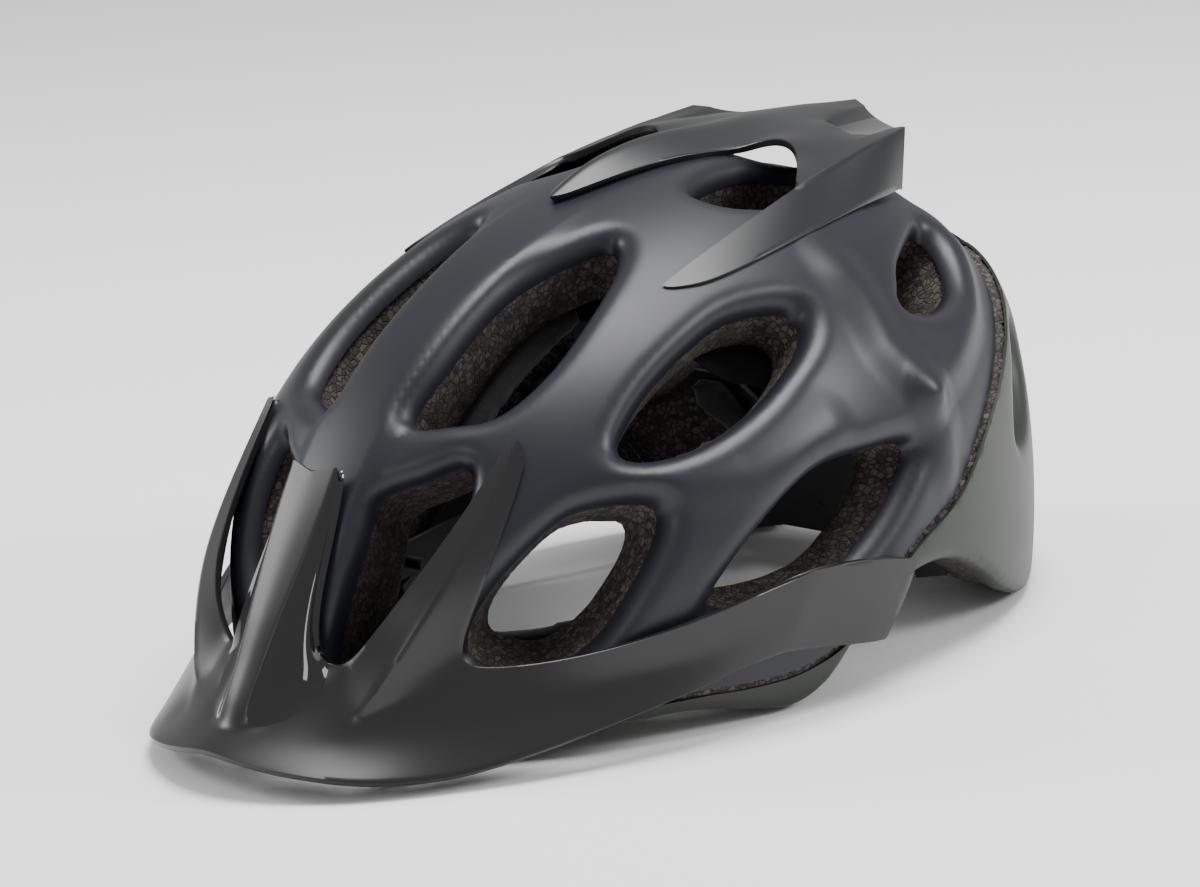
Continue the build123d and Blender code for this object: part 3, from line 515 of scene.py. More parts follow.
def place(obj, body, nodes=()):
    if body:
        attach(obj, body)
    if nodes:
        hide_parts(*nodes)


moulding = {"foamStep": 2.1, "filmStep": 1.7, "filmDepth": 7.5, "seamHalf": 1.1, "filmGap": 0.03,
            "low": (-109, -152, -84), "high": (109, 158, 102)}


def buildMoulding():
    low, high = moulding["low"], moulding["high"]
    p, quads = meshField(moulding["foamStep"], -filmWall, low, high)
    makeObject("foamLiner", p, quads[:, ::-1], foam, "helmet", ["foam_liner"], 60)
    print("foam", len(quads))
    p, quads = meshField(moulding["filmStep"], 0.0, low, high)
    tris = np.concatenate([quads[:, [0, 2, 1]], quads[:, [0, 3, 2]]])
    p, tris = keepPositive(p, tris, outerDistance(p) + moulding["filmDepth"])
    for name, side, mat, node in (("outerShell", 1, shellFilm, "outer_shell"),
                                  ("lowerShell", -1, lowerFilm, "lower_shell")):
        seam = lineHeight(seamLine, p[:, 1])
        value = side * (p[:, 2] - seam) - moulding["seamHalf"]
        q, t = keepPositive(p, tris, value)
        n = fieldNormal(q, bodyDistance)
        n /= np.linalg.norm(n, axis=1)[:, None]
        q, faces = thicken(q, t, -n, filmWall - moulding["filmGap"])
        makeObject(name, q, faces, mat, "helmet", [node], 50)
        print(name, len(faces))


buildMoulding()


sheetRim = 0.62  # how square the edge of a moulded sheet is


# Thick, crease-aware subdivided sheet from half a cage; gloss faces take the second material
def sheetFromCage(name, points, faces, creases, gloss, wall, materials, levels, corners=(), mirrored=True):
    bm = bmesh.new()
    layer = bm.edges.layers.float.new("crease_edge")
    pin = bm.verts.layers.float.new("crease_vert")
    at = {k: bm.verts.new(p) for k, p in points.items()}
    twin = {}
    for k, p in points.items():
        twin[k] = at[k] if abs(p[0]) < 1e-6 or not mirrored else bm.verts.new((-p[0], p[1], p[2]))
    for k in corners:
        at[k][pin] = 0.9
        twin[k][pin] = 0.9
    for face in faces:
        keys = face.split()
        index = 1 if face in gloss else 0
        bm.faces.new([at[k] for k in keys]).material_index = index
        if mirrored:
            bm.faces.new([twin[k] for k in reversed(keys)]).material_index = index
    for line, value in creases:
        keys = line.split()
        for a, b in zip(keys, keys[1:]):
            for group in (at, twin):
                edge = bm.edges.get((group[a], group[b]))
                if edge:
                    edge[layer] = value
    mesh = bpy.data.meshes.new(name)
    bm.to_mesh(mesh)
    bm.free()
    mesh.transform(Matrix.Scale(0.001, 4))
    for mat in materials:
        mesh.materials.append(mat)
    obj = linkObject(name, mesh)
    solid = obj.modifiers.new("wall", "SOLIDIFY")
    solid.thickness = wall / 1000
    solid.offset = -1
    solid.use_even_offset = True
    solid.thickness_clamp = 1.0
    solid.edge_crease_outer = sheetRim
    solid.edge_crease_inner = sheetRim
    soft = obj.modifiers.new("soft", "SUBSURF")
    soft.levels = levels
    soft.render_levels = levels
    return obj


# Applies the modifiers, stands the mesh in the row and hands it over
def bake(obj, body, nodes=(), sharp=35.0, stood=False):
    graph = bpy.context.evaluated_depsgraph_get()
    mesh = bpy.data.meshes.new_from_object(obj.evaluated_get(graph))
    obj.modifiers.clear()
    obj.data = mesh
    if not stood:
        co = np.empty(len(mesh.vertices) * 3)
        mesh.vertices.foreach_get("co", co)
        mesh.vertices.foreach_set("co", toRow(co.reshape(-1, 3) * 1000).ravel())
        mesh.update()
    shadeSmooth(mesh, sharp)
    place(obj, body, nodes)
    print(obj.name, len(mesh.polygons))
    return obj


pegSize = {"radius": 3.0, "reach": 13.6, "middleRoot": 23, "sideRoot": 14.5}
visorSize = {"wall": 2.2, "levels": 3, "crest": 0.75, "soft": 0.45}
visorPoints = {
    # centre strip: middle and its left crease
    "c0": (0, -122.2, 60.2), "c1": (0, -134, 49.2), "c2": (0, -146.6, 36.2), "c3": (0, -155.8, 27),
    "c4": (0, -164.2, 17.6), "c5": (0, -171.8, 10.2), "c6": (0, -177.5, 3.4),
    "s0": (8.8, -119.4, 61.6), "s1": (7.8, -133, 49), "s2": (6.2, -145.8, 36), "s3": (4.9, -155, 26.8),
    "s4": (4, -163.3, 17.5), "s5": (3.6, -171, 10.2), "s6": (5, -176.6, 2.6),
    # scoop bed and outer rim
    "v1": (10, -128.5, 48), "v2": (10.5, -139.2, 35), "v3": (11, -144.8, 26), "v4": (11.5, -151.2, 16.5),
    "v5": (11, -161.5, 6.8),
    "r0": (10.6, -121, 59), "r1": (12.2, -130.2, 48.1), "r2": (13.8, -140.2, 37.2),
    "r3": (15.4, -147.3, 28.4),
    "r4": (17, -151.5, 20), "r5": (20, -150.6, 14.8), "u1": (24.5, -147.6, 14.2),
    "r6": (20, -157, 7), "r7": (14.4, -168.6, 3.2),
    # fin: inner edge, crest, outer edge
    "f0": (48.8, -87.6, 61.8), "f1": (46, -109.4, 47.7), "f2": (40, -131.5, 34),
    "f3": (32.5, -143.5, 22.6),
    "p0": (51, -88.2, 61.2), "p1": (50.6, -109.5, 45.5), "p2": (47.8, -129, 31.6),
    "p3": (42.6, -142, 19.6),
    "p4": (37, -152, 9), "p5": (31, -159.5, 1.2),
    "o0": (54, -88.5, 57.5), "o1": (54.2, -103.5, 43.5), "o2": (53.6, -114.5, 32.5),
    "o3": (51.4, -124, 22),
    "o4": (50, -129.4, 13.6),
    "t0": (52.6, -129.4, 9.2), "t1": (60, -123, 6.9), "t2": (71.1, -110.7, 5.1), "t3": (81.2, -95.8, 4),
    "t4": (89.9, -79.1, 3.4), "t5": (97, -60, 3), "t6": (103.4, -33.5, 1.6), "t7": (105.6, -11.6, -5.5),
    "t8": (105.6, 7.1, -15.2),
    # brim: dish row, middle row, edge
    "d0": (43.5, -143.5, 5.6), "g1": (28, -154.5, 7),
    "m0": (0, -181.5, 3), "m1": (8, -180.8, 2.2), "m2": (17, -177.5, 0.6), "m3": (26.5, -170.5, -2),
    "m4": (37, -161.5, -3.4), "m5": (47, -150, -4), "m6": (56, -138.6, -4.6), "m7": (66, -124.6, -5),
    "m8": (76, -108.4, -5.6), "m9": (85.4, -90.4, -6.6), "m10": (93.4, -69.6, -8),
    "m11": (101, -43.4, -9.4),
    "e0": (0, -188, 2), "e1": (9, -187.8, 0.6), "e2": (20, -185.2, -2.2), "e3": (31, -180.8, -4.9),
    "e4": (42.6, -173.4, -8.8), "e5": (52.4, -162.6, -12.2), "e6": (61, -150.6, -15),
    "e7": (71, -134, -15.6),
    "e8": (80, -115.4, -15.8), "e9": (88, -95, -16), "e10": (94.2, -74, -16.6), "e11": (99.4, -50.4, -18),
    "n7": (104.4, -18, -19), "n8": (105.4, -1.2, -23.6), "e12": (103.8, -21.4, -29.6),
    "e13": (104.2, -13, -33),
}
scoopFaces = ["s0 r0 r1 v1", "s0 v1 s1", "s1 v1 v2 s2", "s2 v2 v3 s3", "s3 v3 v4 s4", "s4 v4 v5 s5",
              "s5 v5 r7 s6", "v1 r1 r2 v2", "v2 r2 r3 v3", "v3 r3 r4 v4", "v4 r4 r5 r6", "v4 r6 v5",
              "v5 r6 r7"]
visorFaces = scoopFaces + [
    "c0 s0 s1 c1", "c1 s1 s2 c2", "c2 s2 s3 c3", "c3 s3 s4 c4", "c4 s4 s5 c5", "c5 s5 s6 c6",
    "c6 s6 m1 m0", "s6 r7 m2 m1", "r7 r6 m3 m2", "r6 g1 p5 m3", "r6 r5 u1 g1", "u1 p4 p5 g1", "p5 m4 m3",
    "f0 p0 p1 f1", "f1 p1 p2 f2", "f2 p2 p3 f3", "f3 p3 p4 u1",
    "p0 o0 o1 p1", "p1 o1 o2 p2", "p2 o2 o3 p3", "p3 o3 o4 p4", "p4 o4 t0 d0", "p4 d0 p5",
    "p5 d0 m5 m4", "d0 t0 m6 m5", "t0 t1 m7 m6", "t1 t2 m8 m7", "t2 t3 m9 m8", "t3 t4 m10 m9",
    "t4 t5 m11 m10", "t5 t6 m11",
    "m0 m1 e1 e0", "m1 m2 e2 e1", "m2 m3 e3 e2", "m3 m4 e4 e3", "m4 m5 e5 e4", "m5 m6 e6 e5",
    "m6 m7 e7 e6",
    "m7 m8 e8 e7", "m8 m9 e9 e8", "m9 m10 e10 e9", "m10 m11 e11 e10", "m11 t6 n7 e11", "t6 t7 n8 n7",
    "t7 t8 n8", "e11 n7 e12", "n7 n8 e13 e12"]


def addRod(name, start, end, radius, material, body, sides=24):
    bm = bmesh.new()
    a, b = Vector(toRow(np.array(start, float))), Vector(toRow(np.array(end, float)))
    bmesh.ops.create_cone(bm, cap_ends=True, segments=sides, radius1=radius / 1000, radius2=radius / 1000,
                          depth=(b - a).length)
    turn = (b - a).to_track_quat("Z", "Y").to_matrix().to_4x4()
    bmesh.ops.transform(bm, matrix=Matrix.Translation((a + b) / 2) @ turn, verts=bm.verts)
    mesh = bpy.data.meshes.new(name)
    bm.to_mesh(mesh)
    bm.free()
    mesh.materials.append(material)
    shadeSmooth(mesh, 35)
    obj = linkObject(name, mesh)
    place(obj, body)
    return obj


def buildVisor():
    crest, soft = visorSize["crest"], visorSize["soft"]
    creases = [("s0 s1 s2 s3 s4 s5 s6", 0.95), ("p0 p1 p2 p3 p4 p5", crest), ("s6 r7 r6", soft),
               ("p5 d0 t0", 0.15), ("t6 m11 e11", 0.8), ("e11 n7 t6", 0.0), ("m7 m8 m9 m10 m11", 0.35),
               ("c0 s0", 1.0), ("s0 r0", 0.8), ("f0 p0 o0", 0.7)]
    obj = sheetFromCage("visor", visorPoints, visorFaces, creases, set(scoopFaces), visorSize["wall"],
                        [visorSatin, visorGloss], visorSize["levels"],
                        ("c0", "s0", "t6", "t8", "e12", "e13", "f0", "p0"))
    bake(obj, "visor", ["visor"], 40)
    c, s = math.cos(stand["tilt"]), math.sin(stand["tilt"])
    pull = np.array([0, -c, s])
    middle, side = pegHoles["spots"]
    pegs = [(middle, pegSize["middleRoot"]), (side, pegSize["sideRoot"]),
            ((-side[0], side[1], side[2]), pegSize["sideRoot"])]
    for i, (spot, root) in enumerate(pegs):
        p = np.array(spot, float)
        addRod("visorPeg%d" % (i + 1), p + pull * root, p - pull * pegSize["reach"], pegSize["radius"],
               visorSatin, "visor")


buildVisor()


wingSize = {"wall": 2.4, "levels": 3}
wingPoints = {
    "a0": (0, -6, 98), "a1": (0, 14, 102.6), "a2": (0, 38, 100.4), "a3": (0, 58, 95.2), "a4": (0, 74, 90),
    "a5": (0, 88, 86), "a6": (0, 102, 81.6), "a7": (0, 118, 76.6), "a8": (0, 137.6, 70.4),
    "b0": (3, -3, 97.6), "b1": (8, 13, 97), "b2": (11, 34, 94.4), "b3": (13.6, 49, 90.8),
    "b4": (17, 61.3, 86.7),
    "c4": (21.5, 68.4, 87.4), "d4": (28, 71, 87.4), "e4": (34.5, 68.6, 86), "g4": (41.5, 61, 84),
    "h4": (46.8, 52, 82.8),
    "b5": (12, 83, 85.8), "c5": (20, 86, 84), "d5": (30, 84, 83), "e5": (39, 77, 82.6),
    "g5": (45.5, 66, 82.4),
    "c6": (16, 102, 80), "d6": (30, 97, 79.4), "e6": (38.6, 92, 79.6), "g6": (43.6, 84, 80.2),
    "x6": (17, 104.4, 75.4), "y6": (28.6, 100, 75), "b7": (11.5, 117, 76.2), "x7": (15, 115.6, 72.6),
    "y7": (33, 108.6, 72.4),
    "e7": (39.6, 104, 77.4),
    "x8": (14.5, 128.4, 69.2), "y8": (34, 117.2, 71), "b8": (7, 133.6, 70.2), "e8": (40, 112, 75),
    # blade: top edge, its outer face and foot
    "k0": (53.6, -20.4, 80.9), "k1": (53.4, -2, 82.4), "k2": (52.2, 22, 82.8), "k3": (50.3, 50, 82.6),
    "k4": (48.4, 74, 81),
    "k5": (46.8, 92, 79), "k6": (45, 108.4, 76.8),
    "q0": (55.4, -19.6, 80), "q1": (62, -8.6, 77.6), "q2": (63.4, 14, 76.2), "q3": (62.4, 36, 73.6),
    "q4": (57.6, 63, 69.2),
    "q5": (52.6, 83, 64.4), "q6": (47, 99, 59.4),
}
channelFaces = ["x6 y6 y7 x7", "x7 y7 y8 x8"]
wingFaces = channelFaces + [
    "a0 b0 b1 a1", "a1 b1 b2 a2", "a2 b2 b3 a3", "a3 b3 b4 a4", "a4 b4 b5 a5", "b4 c4 c5 b5",
    "c4 d4 d5 c5", "d4 e4 e5 d5", "e4 g4 g5 e5", "g4 h4 k3 g5", "g5 k3 k4", "a5 b5 c6 a6", "b5 c5 c6",
    "c5 d5 d6 c6", "d5 e5 e6 d6", "e5 g5 g6 e6", "g5 k4 g6", "g6 k4 k5", "a6 c6 b7 a7", "c6 x6 x7 b7",
    "a7 b7 b8 a8", "b7 x7 x8 b8", "d6 e6 y7 y6", "e6 e7 y7", "e6 g6 e7", "g6 k5 e7", "e7 k5 k6 e8",
    "y7 e7 e8 y8",
    "k0 q0 q1 k1", "k1 q1 q2 k2", "k2 q2 q3 k3", "k3 q3 q4 k4", "k4 q4 q5 k5", "k5 q5 q6 k6"]


def buildWing():
    creases = [("a0 a1 a2 a3 a4 a5 a6 a7 a8", 0.35), ("k0 k1 k2 k3 k4 k5 k6", 0.85), ("k6 q6", 0.8),
               ("a6 c6", 0.0), ("b7 x7", 0.4), ("e6 y7", 0.5), ("e7 y7", 0.5), ("e7 e8", 0.6),
               ("b7 b8", 0.6),
               ("h4 k3", 0.5), ("k6 e8", 0.7), ("a8 b8", 0.6)]
    obj = sheetFromCage("rearWing", wingPoints, wingFaces, creases, set(channelFaces), wingSize["wall"],
                        [wingSatin, visorGloss], wingSize["levels"],
                        ("a0", "k0", "k6", "q6", "a8", "e8"))
    bake(obj, "helmet", ["rear_wing"], 40)


buildWing()


fittingLooks = {
    "visor_sockets": nylonBlack, "strap_anchors": nylonBlack, "divider_left": acetalBlack,
    "divider_right": acetalBlack, "lever_left": acetalBlack, "lever_right": acetalBlack,
    "buckle_female": acetalBlack, "buckle_male": acetalBlack, "strap_keeper": siliconeBlack,
    "belt_left": nylonBlack, "belt_right": nylonBlack, "belt_anchors": nylonBlack, "cradle": nylonBlack,
    "dial_cover": nylonBlack, "cover_screws": steelBlack, "dial": siliconeBlack, "pinion": acetalBlack,
    "dial_screw": steelBlack, "hanger_anchor": nylonBlack, "pad_dots": nylonBlack,
}


def dressFittings():
    for node, look in fittingLooks.items():
        obj = bpy.data.objects.get(node)
        if obj is None:
            print("no node", node)
            continue
        obj.data.materials.clear()
        obj.data.materials.append(look)
        if node not in ("pad_dots", "pinion"):
            edge = obj.modifiers.new("edge", "BEVEL")
            edge.width = 0.0003
            edge.segments = 2
            edge.limit_method = "ANGLE"
            edge.angle_limit = math.radians(40)
            obj.data.shade_smooth()
    print("fittings", len(fittingLooks))


dressFittings()


webSize = {"rib": 0.0011, "yarn": 0.0016, "relief": 0.00012}


def webbingMaterial():
    # polyester yarn, narrow-woven in a rib weave, piece dyed
    mat, shader = newMaterial("Polyester webbing black, rib woven", "#101012", 0.85)
    uv = addNode(mat, "ShaderNodeAttribute", attribute_name="along")
    parts = addNode(mat, "ShaderNodeSeparateXYZ", {"Vector": uv.outputs["Vector"]})
    ribs = addNode(mat, "ShaderNodeMath", {0: parts.outputs["X"], 1: 2 * math.pi / webSize["rib"]},
                   operation="MULTIPLY")
    wave = addNode(mat, "ShaderNodeMath", {0: ribs.outputs["Value"]}, operation="SINE")
    yarn = addNode(mat, "ShaderNodeMath", {0: parts.outputs["Y"], 1: 2 * math.pi / webSize["yarn"]},
                   operation="MULTIPLY")
    yarnWave = addNode(mat, "ShaderNodeMath", {0: yarn.outputs["Value"]}, operation="SINE")
    both = addNode(mat, "ShaderNodeMath", {0: wave.outputs["Value"], 1: 0.6, 2: yarnWave.outputs["Value"]},
                   operation="MULTIPLY_ADD")
    bump = addNode(mat, "ShaderNodeBump", {"Height": both.outputs["Value"], "Distance": webSize["relief"],
                   "Strength": 0.6})
    mat.node_tree.links.new(bump.outputs["Normal"], shader.inputs["Normal"])
    return mat


webbing = webbingMaterial()
strapSize = {"width": 15.0, "thick": 1.2, "offWall": 3.2, "roof": 56.0, "step": 2.5, "across": 6}


def strapWallX(y, z, inset):
    a, b, c = head["width"] - inset, head["length"] - inset, head["rise"] - inset
    share = 1 - ((y - head["shift"]) / b) ** 2 - (max(z, 0) / c) ** 2
    return a * math.sqrt(max(share, 0.0))


# Closed band from rows of (point, inward) across its width, mirrored to the given side
def ribbonMesh(name, rows, thick, material, side):
    pts = np.array([[p for p, _ in row] for row in rows], float)
    inn = np.array([[n for _, n in row] for row in rows], float)
    n, m = pts.shape[:2]
    edge = np.ones(m)
    edge[0] = edge[-1] = 0.45
    mid = pts + inn * thick / 2
    top = mid - inn * (thick / 2 * edge)[None, :, None]
    low = mid + inn * (thick / 2 * edge)[None, :, None]
    p = np.concatenate([top.reshape(-1, 3), low.reshape(-1, 3)])
    p[:, 0] *= side
    f = []
    o = n * m
    for i in range(n - 1):
        for j in range(m - 1):
            a = i * m + j
            f += [(a, a + 1, a + m + 1, a + m), (a + o, a + m + o, a + m + 1 + o, a + 1 + o)]
        a, b = i * m, i * m + m - 1
        f += [(a, a + m, a + m + o, a + o), (b, b + o, b + m + o, b + m)]
    for j in range(m - 1):
        a, b = j, (n - 1) * m + j
        f += [(a, a + o, a + 1 + o, a + 1), (b, b + 1, b + 1 + o, b + o)]
    if side < 0:
        f = [q[::-1] for q in f]
    mesh = bpy.data.meshes.new(name)
    mesh.from_pydata(toRow(p).tolist(), [], f)
    bm = bmesh.new()
    bm.from_mesh(mesh)
    bmesh.ops.recalc_face_normals(bm, faces=bm.faces)
    bm.to_mesh(mesh)
    bm.free()
    run = np.concatenate([[0], np.cumsum(np.linalg.norm(np.diff(pts[:, m // 2], axis=0), axis=1))]) / 1000
    wide = np.linspace(0, strapSize["width"] / 1000, m)
    grid = np.stack([np.repeat(run, m), np.tile(wide, n), np.zeros(n * m)], 1)
    field = mesh.attributes.new("along", "FLOAT_VECTOR", "POINT")
    field.data.foreach_set("vector", np.concatenate([grid, grid]).ravel())
    mesh.materials.append(material)
    shadeSmooth(mesh, 50)
    obj = linkObject(name, mesh)
    return obj


# Rows along a path on the hollow's wall given as (y, z), then straight across below the crown
def strapRows(path, endX=None):
    curve = smoothCurve(path, 24, False)
    step = strapSize["step"]
    length = np.concatenate([[0], np.cumsum(np.linalg.norm(np.diff(curve, axis=0), axis=1))])
    where = np.linspace(0, length[-1], int(length[-1] / step) + 1)
    line = np.stack([np.interp(where, length, curve[:, i]) for i in (0, 1)], 1)
    half, off, roof = strapSize["width"] / 2, strapSize["offWall"], strapSize["roof"]
    offsets = np.linspace(-half, half, strapSize["across"])
    rows = []
    for i, (y, z) in enumerate(line):
        if z > roof - 1.0:
            break
        t = line[min(i + 1, len(line) - 1)] - line[max(i - 1, 0)]
        t /= np.linalg.norm(t)
        row = []
        for o in offsets:
            yy, zz = y - t[1] * o, z + t[0] * o
            if endX is not None:
                zz = min(zz, roof - 1.0)
            x = strapWallX(yy, zz, off)
            a, b, c = head["width"] - off, head["length"] - off, head["rise"] - off
            n = unit((-x / a ** 2, -(yy - head["shift"]) / b ** 2, -max(zz, 0) / c ** 2))
            row.append(((x, yy, zz), n))
        rows.append(row)
    if endX is not None:
        startX = strapWallX(0, roof, off)
        for x in np.linspace(startX - 2.5, endX, 12):
            rows.append([((x, -o if rows[0][0][0][1] > 0 else o, roof), (0, 0, -1)) for o in offsets[::-1]])
        last, first = np.array([p for p, _ in rows[-13]]), np.array([p for p, _ in rows[-12]])
        if np.linalg.norm(last[0] - first[0]) > np.linalg.norm(last[0] - first[-1]):
            for k in range(1, 13):
                rows[-k] = rows[-k][::-1]
    return rows


def buildStraps():
    for side, word in ((1, "left"), (-1, "right")):
        for part, path in (("front", [(-38, -31), (37, -6)]), ("rear", [(63, -46), (51, -12)])):
            node = part + "_strap_" + word
            name = part + "Strap" + word.title()
            obj = ribbonMesh(name, strapRows(path), strapSize["thick"], webbing, side)
            place(obj, "helmet", [node])
        rows = strapRows([(46, 3), (10, 42), (0, 50), (0, 75)], 15.9 if side > 0 else 7.5)
        obj = ribbonMesh("chinStrap" + word.title(), rows, strapSize["thick"], webbing, side)
        if side > 0:
            place(obj, "helmet", ["chin_strap_left"])
        else:
            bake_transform(obj)
            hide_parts("chin_strap_right")
    print("straps")


buildStraps()


stitchSize = {"length": 2.4, "radius": 0.28, "rows": 4, "across": 5, "pitch": 2.2}


# Puts one rounded stitch on every vertex, lying along the vertex's own direction
def stitchNodes(thread):
    group = bpy.data.node_groups.new("stitches", "GeometryNodeTree")
    put = group.interface.new_socket
    put("Geometry", in_out="INPUT", socket_type="NodeSocketGeometry")
    put("Geometry", in_out="OUTPUT", socket_type="NodeSocketGeometry")
    length = put("Length", in_out="INPUT", socket_type="NodeSocketFloat")
    radius = put("Radius", in_out="INPUT", socket_type="NodeSocketFloat")
    nodes, links = group.nodes, group.links
    start, end = nodes.new("NodeGroupInput"), nodes.new("NodeGroupOutput")
    bead = nodes.new("GeometryNodeMeshUVSphere")
    bead.inputs["Segments"].default_value = 8
    bead.inputs["Rings"].default_value = 6
    bead.inputs["Radius"].default_value = 1.0
    half = nodes.new("ShaderNodeMath")
    half.operation = "MULTIPLY"
    half.inputs[1].default_value = 0.5
    links.new(start.outputs["Length"], half.inputs[0])
    size = nodes.new("ShaderNodeCombineXYZ")
    for axis, source in zip("XYZ", (start.outputs["Radius"], start.outputs["Radius"], half.outputs[0])):
        links.new(source, size.inputs[axis])
    way = nodes.new("GeometryNodeInputNamedAttribute")
    way.data_type = "FLOAT_VECTOR"
    way.inputs["Name"].default_value = "way"
    turn = nodes.new("FunctionNodeAlignRotationToVector")
    turn.axis = "Z"
    links.new(way.outputs["Attribute"], turn.inputs["Vector"])
    copies = nodes.new("GeometryNodeInstanceOnPoints")
    links.new(start.outputs["Geometry"], copies.inputs["Points"])
    links.new(bead.outputs["Mesh"], copies.inputs["Instance"])
    links.new(turn.outputs["Rotation"], copies.inputs["Rotation"])
    links.new(size.outputs["Vector"], copies.inputs["Scale"])
    real = nodes.new("GeometryNodeRealizeInstances")
    links.new(copies.outputs["Instances"], real.inputs["Geometry"])
    paint = nodes.new("GeometryNodeSetMaterial")
    paint.inputs["Material"].default_value = thread
    links.new(real.outputs["Geometry"], paint.inputs["Geometry"])
    links.new(paint.outputs["Geometry"], end.inputs["Geometry"])
    return group, length.identifier, radius.identifier


def buildStitches():
    # bonded nylon thread, lockstitched box tacks where each strap folds back at its fitting
    thread, _ = newMaterial("Nylon thread grey, lockstitched", "#4a4a4d", 0.6)
    spots, ways = [], []
    paths = [strapRows([(-38, -31), (37, -6)]), strapRows([(63, -46), (51, -12)]),
             strapRows([(46, 3), (10, 42), (0, 50), (0, 75)], 15.9)]
    gap = strapSize["thick"] + 0.02
    for rows in paths:
        for k in range(stitchSize["rows"]):
            i = 4 + k
            if i + 1 >= len(rows):
                continue
            row, ahead = rows[i], rows[i + 1]
            for j in np.linspace(0.6, strapSize["across"] - 1.6, stitchSize["across"]):
                a = int(j)
                p = np.array(row[a][0]) * (1 - j + a) + np.array(row[a + 1][0]) * (j - a)
                q = np.array(ahead[a][0]) * (1 - j + a) + np.array(ahead[a + 1][0]) * (j - a)
                for side in (1, -1):
                    mirror = np.array([side, 1, 1])
                    spots.append((p + row[a][1] * gap) * mirror)
                    ways.append(unit(q - p) * mirror)
    mesh = bpy.data.meshes.new("strapStitches")
    mesh.from_pydata(toRow(np.array(spots)).tolist(), [], [])
    field = mesh.attributes.new("way", "FLOAT_VECTOR", "POINT")
    field.data.foreach_set("vector", (toRow(np.array(ways)) - toRow(np.zeros(3))).ravel() * 1000)
    obj = linkObject("strapStitches", mesh)
    group, length, radius = stitchNodes(thread)
    made = obj.modifiers.new("stitches", "NODES")
    made.node_group = group
    made[length] = stitchSize["length"] / 1000
    made[radius] = stitchSize["radius"] / 1000
    bake(obj, "helmet", [], 60, stood=True)


buildStitches()


def padMaterial():
    # open-cell foam laminated between brushed nylon knit, die cut, edges heat welded
    mat, shader = newMaterial("Nylon knit over foam black, die cut and heat welded", "#141417", 0.92)
    shader.inputs["Sheen Weight"].default_value = 0.35
    shader.inputs["Sheen Roughness"].default_value = 0.5
    knit = addNode(mat, "ShaderNodeTexVoronoi", {"Vector": objectCoords(mat), "Scale": 1 / 0.0011})
    bump = addNode(mat, "ShaderNodeBump", {"Height": knit.outputs["Distance"], "Distance": 0.0002,
                   "Strength": 0.5})
    mat.node_tree.links.new(bump.outputs["Normal"], shader.inputs["Normal"])
    return mat


padCloth = padMaterial()
padSize = {"voxel": 2.2, "pressure": 4.0, "cap": 1.1, "frames": 20}


# Copies the drawn block, remeshes it and lets cloth blow it up a little
def buildPad(node, name, body):
    source = bpy.data.objects[node]
    mesh = source.data.copy()
    mesh.transform(source.matrix_world)
    obj = linkObject(name, mesh)
    mesh.materials.clear()
    mesh.materials.append(padCloth)
    grid = obj.modifiers.new("grid", "REMESH")
    grid.mode = "VOXEL"
    grid.voxel_size = padSize["voxel"] / 1000
    grid.use_smooth_shade = True
    graph = bpy.context.evaluated_depsgraph_get()
    rest = bpy.data.meshes.new_from_object(obj.evaluated_get(graph))
    obj.modifiers.clear()
    obj.data = rest
    before = np.empty(len(rest.vertices) * 3)
    rest.vertices.foreach_get("co", before)
    cloth = obj.modifiers.new("cloth", "CLOTH")
    cloth.settings.quality = 6
    cloth.settings.mass = 0.1
    cloth.settings.tension_stiffness = 15
    cloth.settings.compression_stiffness = 15
    cloth.settings.bending_stiffness = 0.5
    cloth.settings.use_pressure = True
    cloth.settings.uniform_pressure_force = padSize["pressure"]
    cloth.settings.effector_weights.gravity = 0
    scene = bpy.context.scene
    for i in range(1, padSize["frames"] + 1):
        scene.frame_set(i)
    graph = bpy.context.evaluated_depsgraph_get()
    blown = bpy.data.meshes.new_from_object(obj.evaluated_get(graph))
    after = np.empty(len(blown.vertices) * 3)
    blown.vertices.foreach_get("co", after)
    obj.modifiers.clear()
    move = (after - before).reshape(-1, 3)
    size = np.linalg.norm(move, axis=1)[:, None] + 1e-12
    move *= np.minimum(1, padSize["cap"] / 1000 / size)
    rest.vertices.foreach_set("co", (before.reshape(-1, 3) + move).ravel())
    rest.update()
    scene.frame_set(1)
    smooth = obj.modifiers.new("smooth", "SMOOTH")
    smooth.factor = 0.5
    smooth.iterations = 2
    soft = obj.modifiers.new("soft", "SUBSURF")
    soft.levels = 1
    soft.render_levels = 1
    bake(obj, body, [node], 60, stood=True)


def buildPads():
    helmetPads = [("brow_pad", "browPad"), ("crown_pad_front", "crownPadFront"),
                  ("crown_pad_rear", "crownPadRear"), ("side_pad_left", "sidePadLeft"),
                  ("side_pad_right", "sidePadRight")]
    for node, name in helmetPads:
        buildPad(node, name, "helmet")
    for node, name in (("nape_pad_left", "napePadLeft"), ("nape_pad_right", "napePadRight")):
        buildPad(node, name, "cradle")


buildPads()


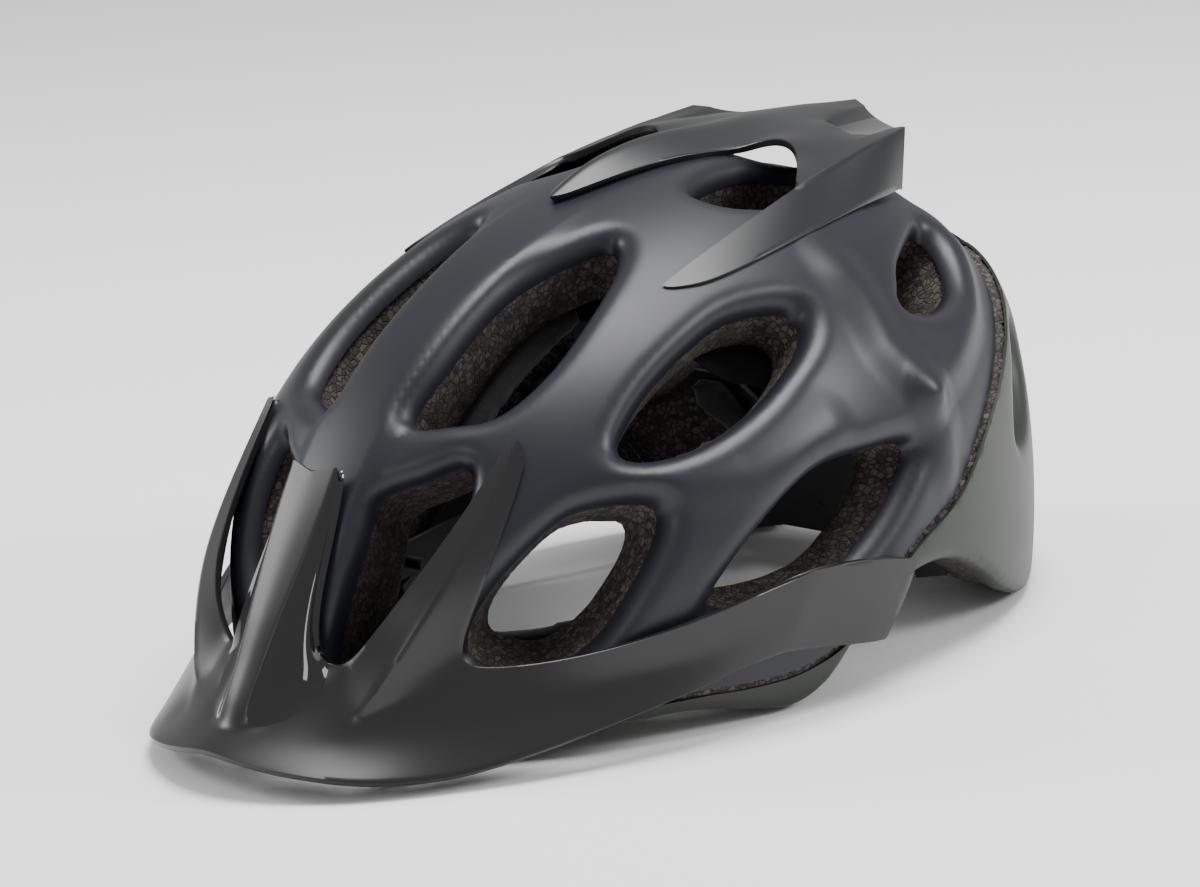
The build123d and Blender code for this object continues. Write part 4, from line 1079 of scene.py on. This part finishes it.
def buildStage():
    mesh = bpy.data.meshes.new("floor")
    r = 3.0
    mesh.from_pydata([(-r, -r, 0), (r, -r, 0), (r, r, 0), (-r, r, 0)], [], [(0, 1, 2, 3)])
    # paper sweep, uncoated
    floorPaper, _ = newMaterial("Paper sweep white, matt", "#fbfbfb", 0.9)
    mesh.materials.append(floorPaper)
    floor = linkObject("floor", mesh)
    world = bpy.data.worlds.new("studio")
    bpy.context.scene.world = world
    world.use_nodes = True
    world.node_tree.nodes["Background"].inputs["Color"].default_value = (1, 1, 1, 1)
    world.node_tree.nodes["Background"].inputs["Strength"].default_value = 0.5
    lights = [("overhead", (0.1, 0.25, 1.5), 0.8, 34), ("left", (-1.3, -0.7, 0.8), 0.5, 12),
              ("right", (1.3, 0.9, 0.9), 0.5, 16), ("front", (0.3, -1.9, 0.8), 0.5, 5)]
    for name, at, size, power in lights:
        lamp = bpy.data.lights.new(name, "AREA")
        lamp.shape = "SQUARE"
        lamp.size = size
        lamp.energy = power
        obj = bpy.data.objects.new(name, lamp)
        obj.location = at
        obj.rotation_euler = (Vector((0, 0, 0.06)) - Vector(at)).to_track_quat("-Z", "Y").to_euler()
        bpy.context.scene.collection.objects.link(obj)


# The camera's place and turn were solved in a frame tilted by fitTilt about the shell's middle
def buildCamera():
    view = {"turn": 42.68, "rise": 10.54, "distance": 1500.0, "fitTilt": 17.88,
            "fitMiddle": (0, 0.03, 52.59), "target": (-6.465, -5.82, 63.08), "lens": 144.45}
    a, e = math.radians(view["turn"]), math.radians(view["rise"])
    back = Vector((math.sin(a) * math.cos(e), -math.cos(a) * math.cos(e), math.sin(e)))
    right = Vector((math.cos(a), math.sin(a), 0))
    up = back.cross(right)
    at = Vector(view["target"]) + back * view["distance"]
    untilt = Matrix.Rotation(-math.radians(view["fitTilt"]), 3, "X")
    tilt = Matrix.Rotation(stand["tilt"], 3, "X")
    inHead = untilt @ (at - Vector(view["fitMiddle"]))
    where = Vector(toRow(np.array(inHead)))
    axes = [tilt @ (untilt @ v) for v in (right, up, back)]
    lens = bpy.data.cameras.new("camera")
    lens.lens = view["lens"]
    lens.sensor_width = 36
    lens.clip_start = 0.05
    lens.clip_end = 20
    obj = bpy.data.objects.new("camera", lens)
    obj.matrix_world = Matrix.Translation(where) @ Matrix((axes[0], axes[1], axes[2])).transposed().to_4x4()
    bpy.context.scene.collection.objects.link(obj)
    bpy.context.scene.camera = obj


buildStage()
buildCamera()
print("stage and camera")
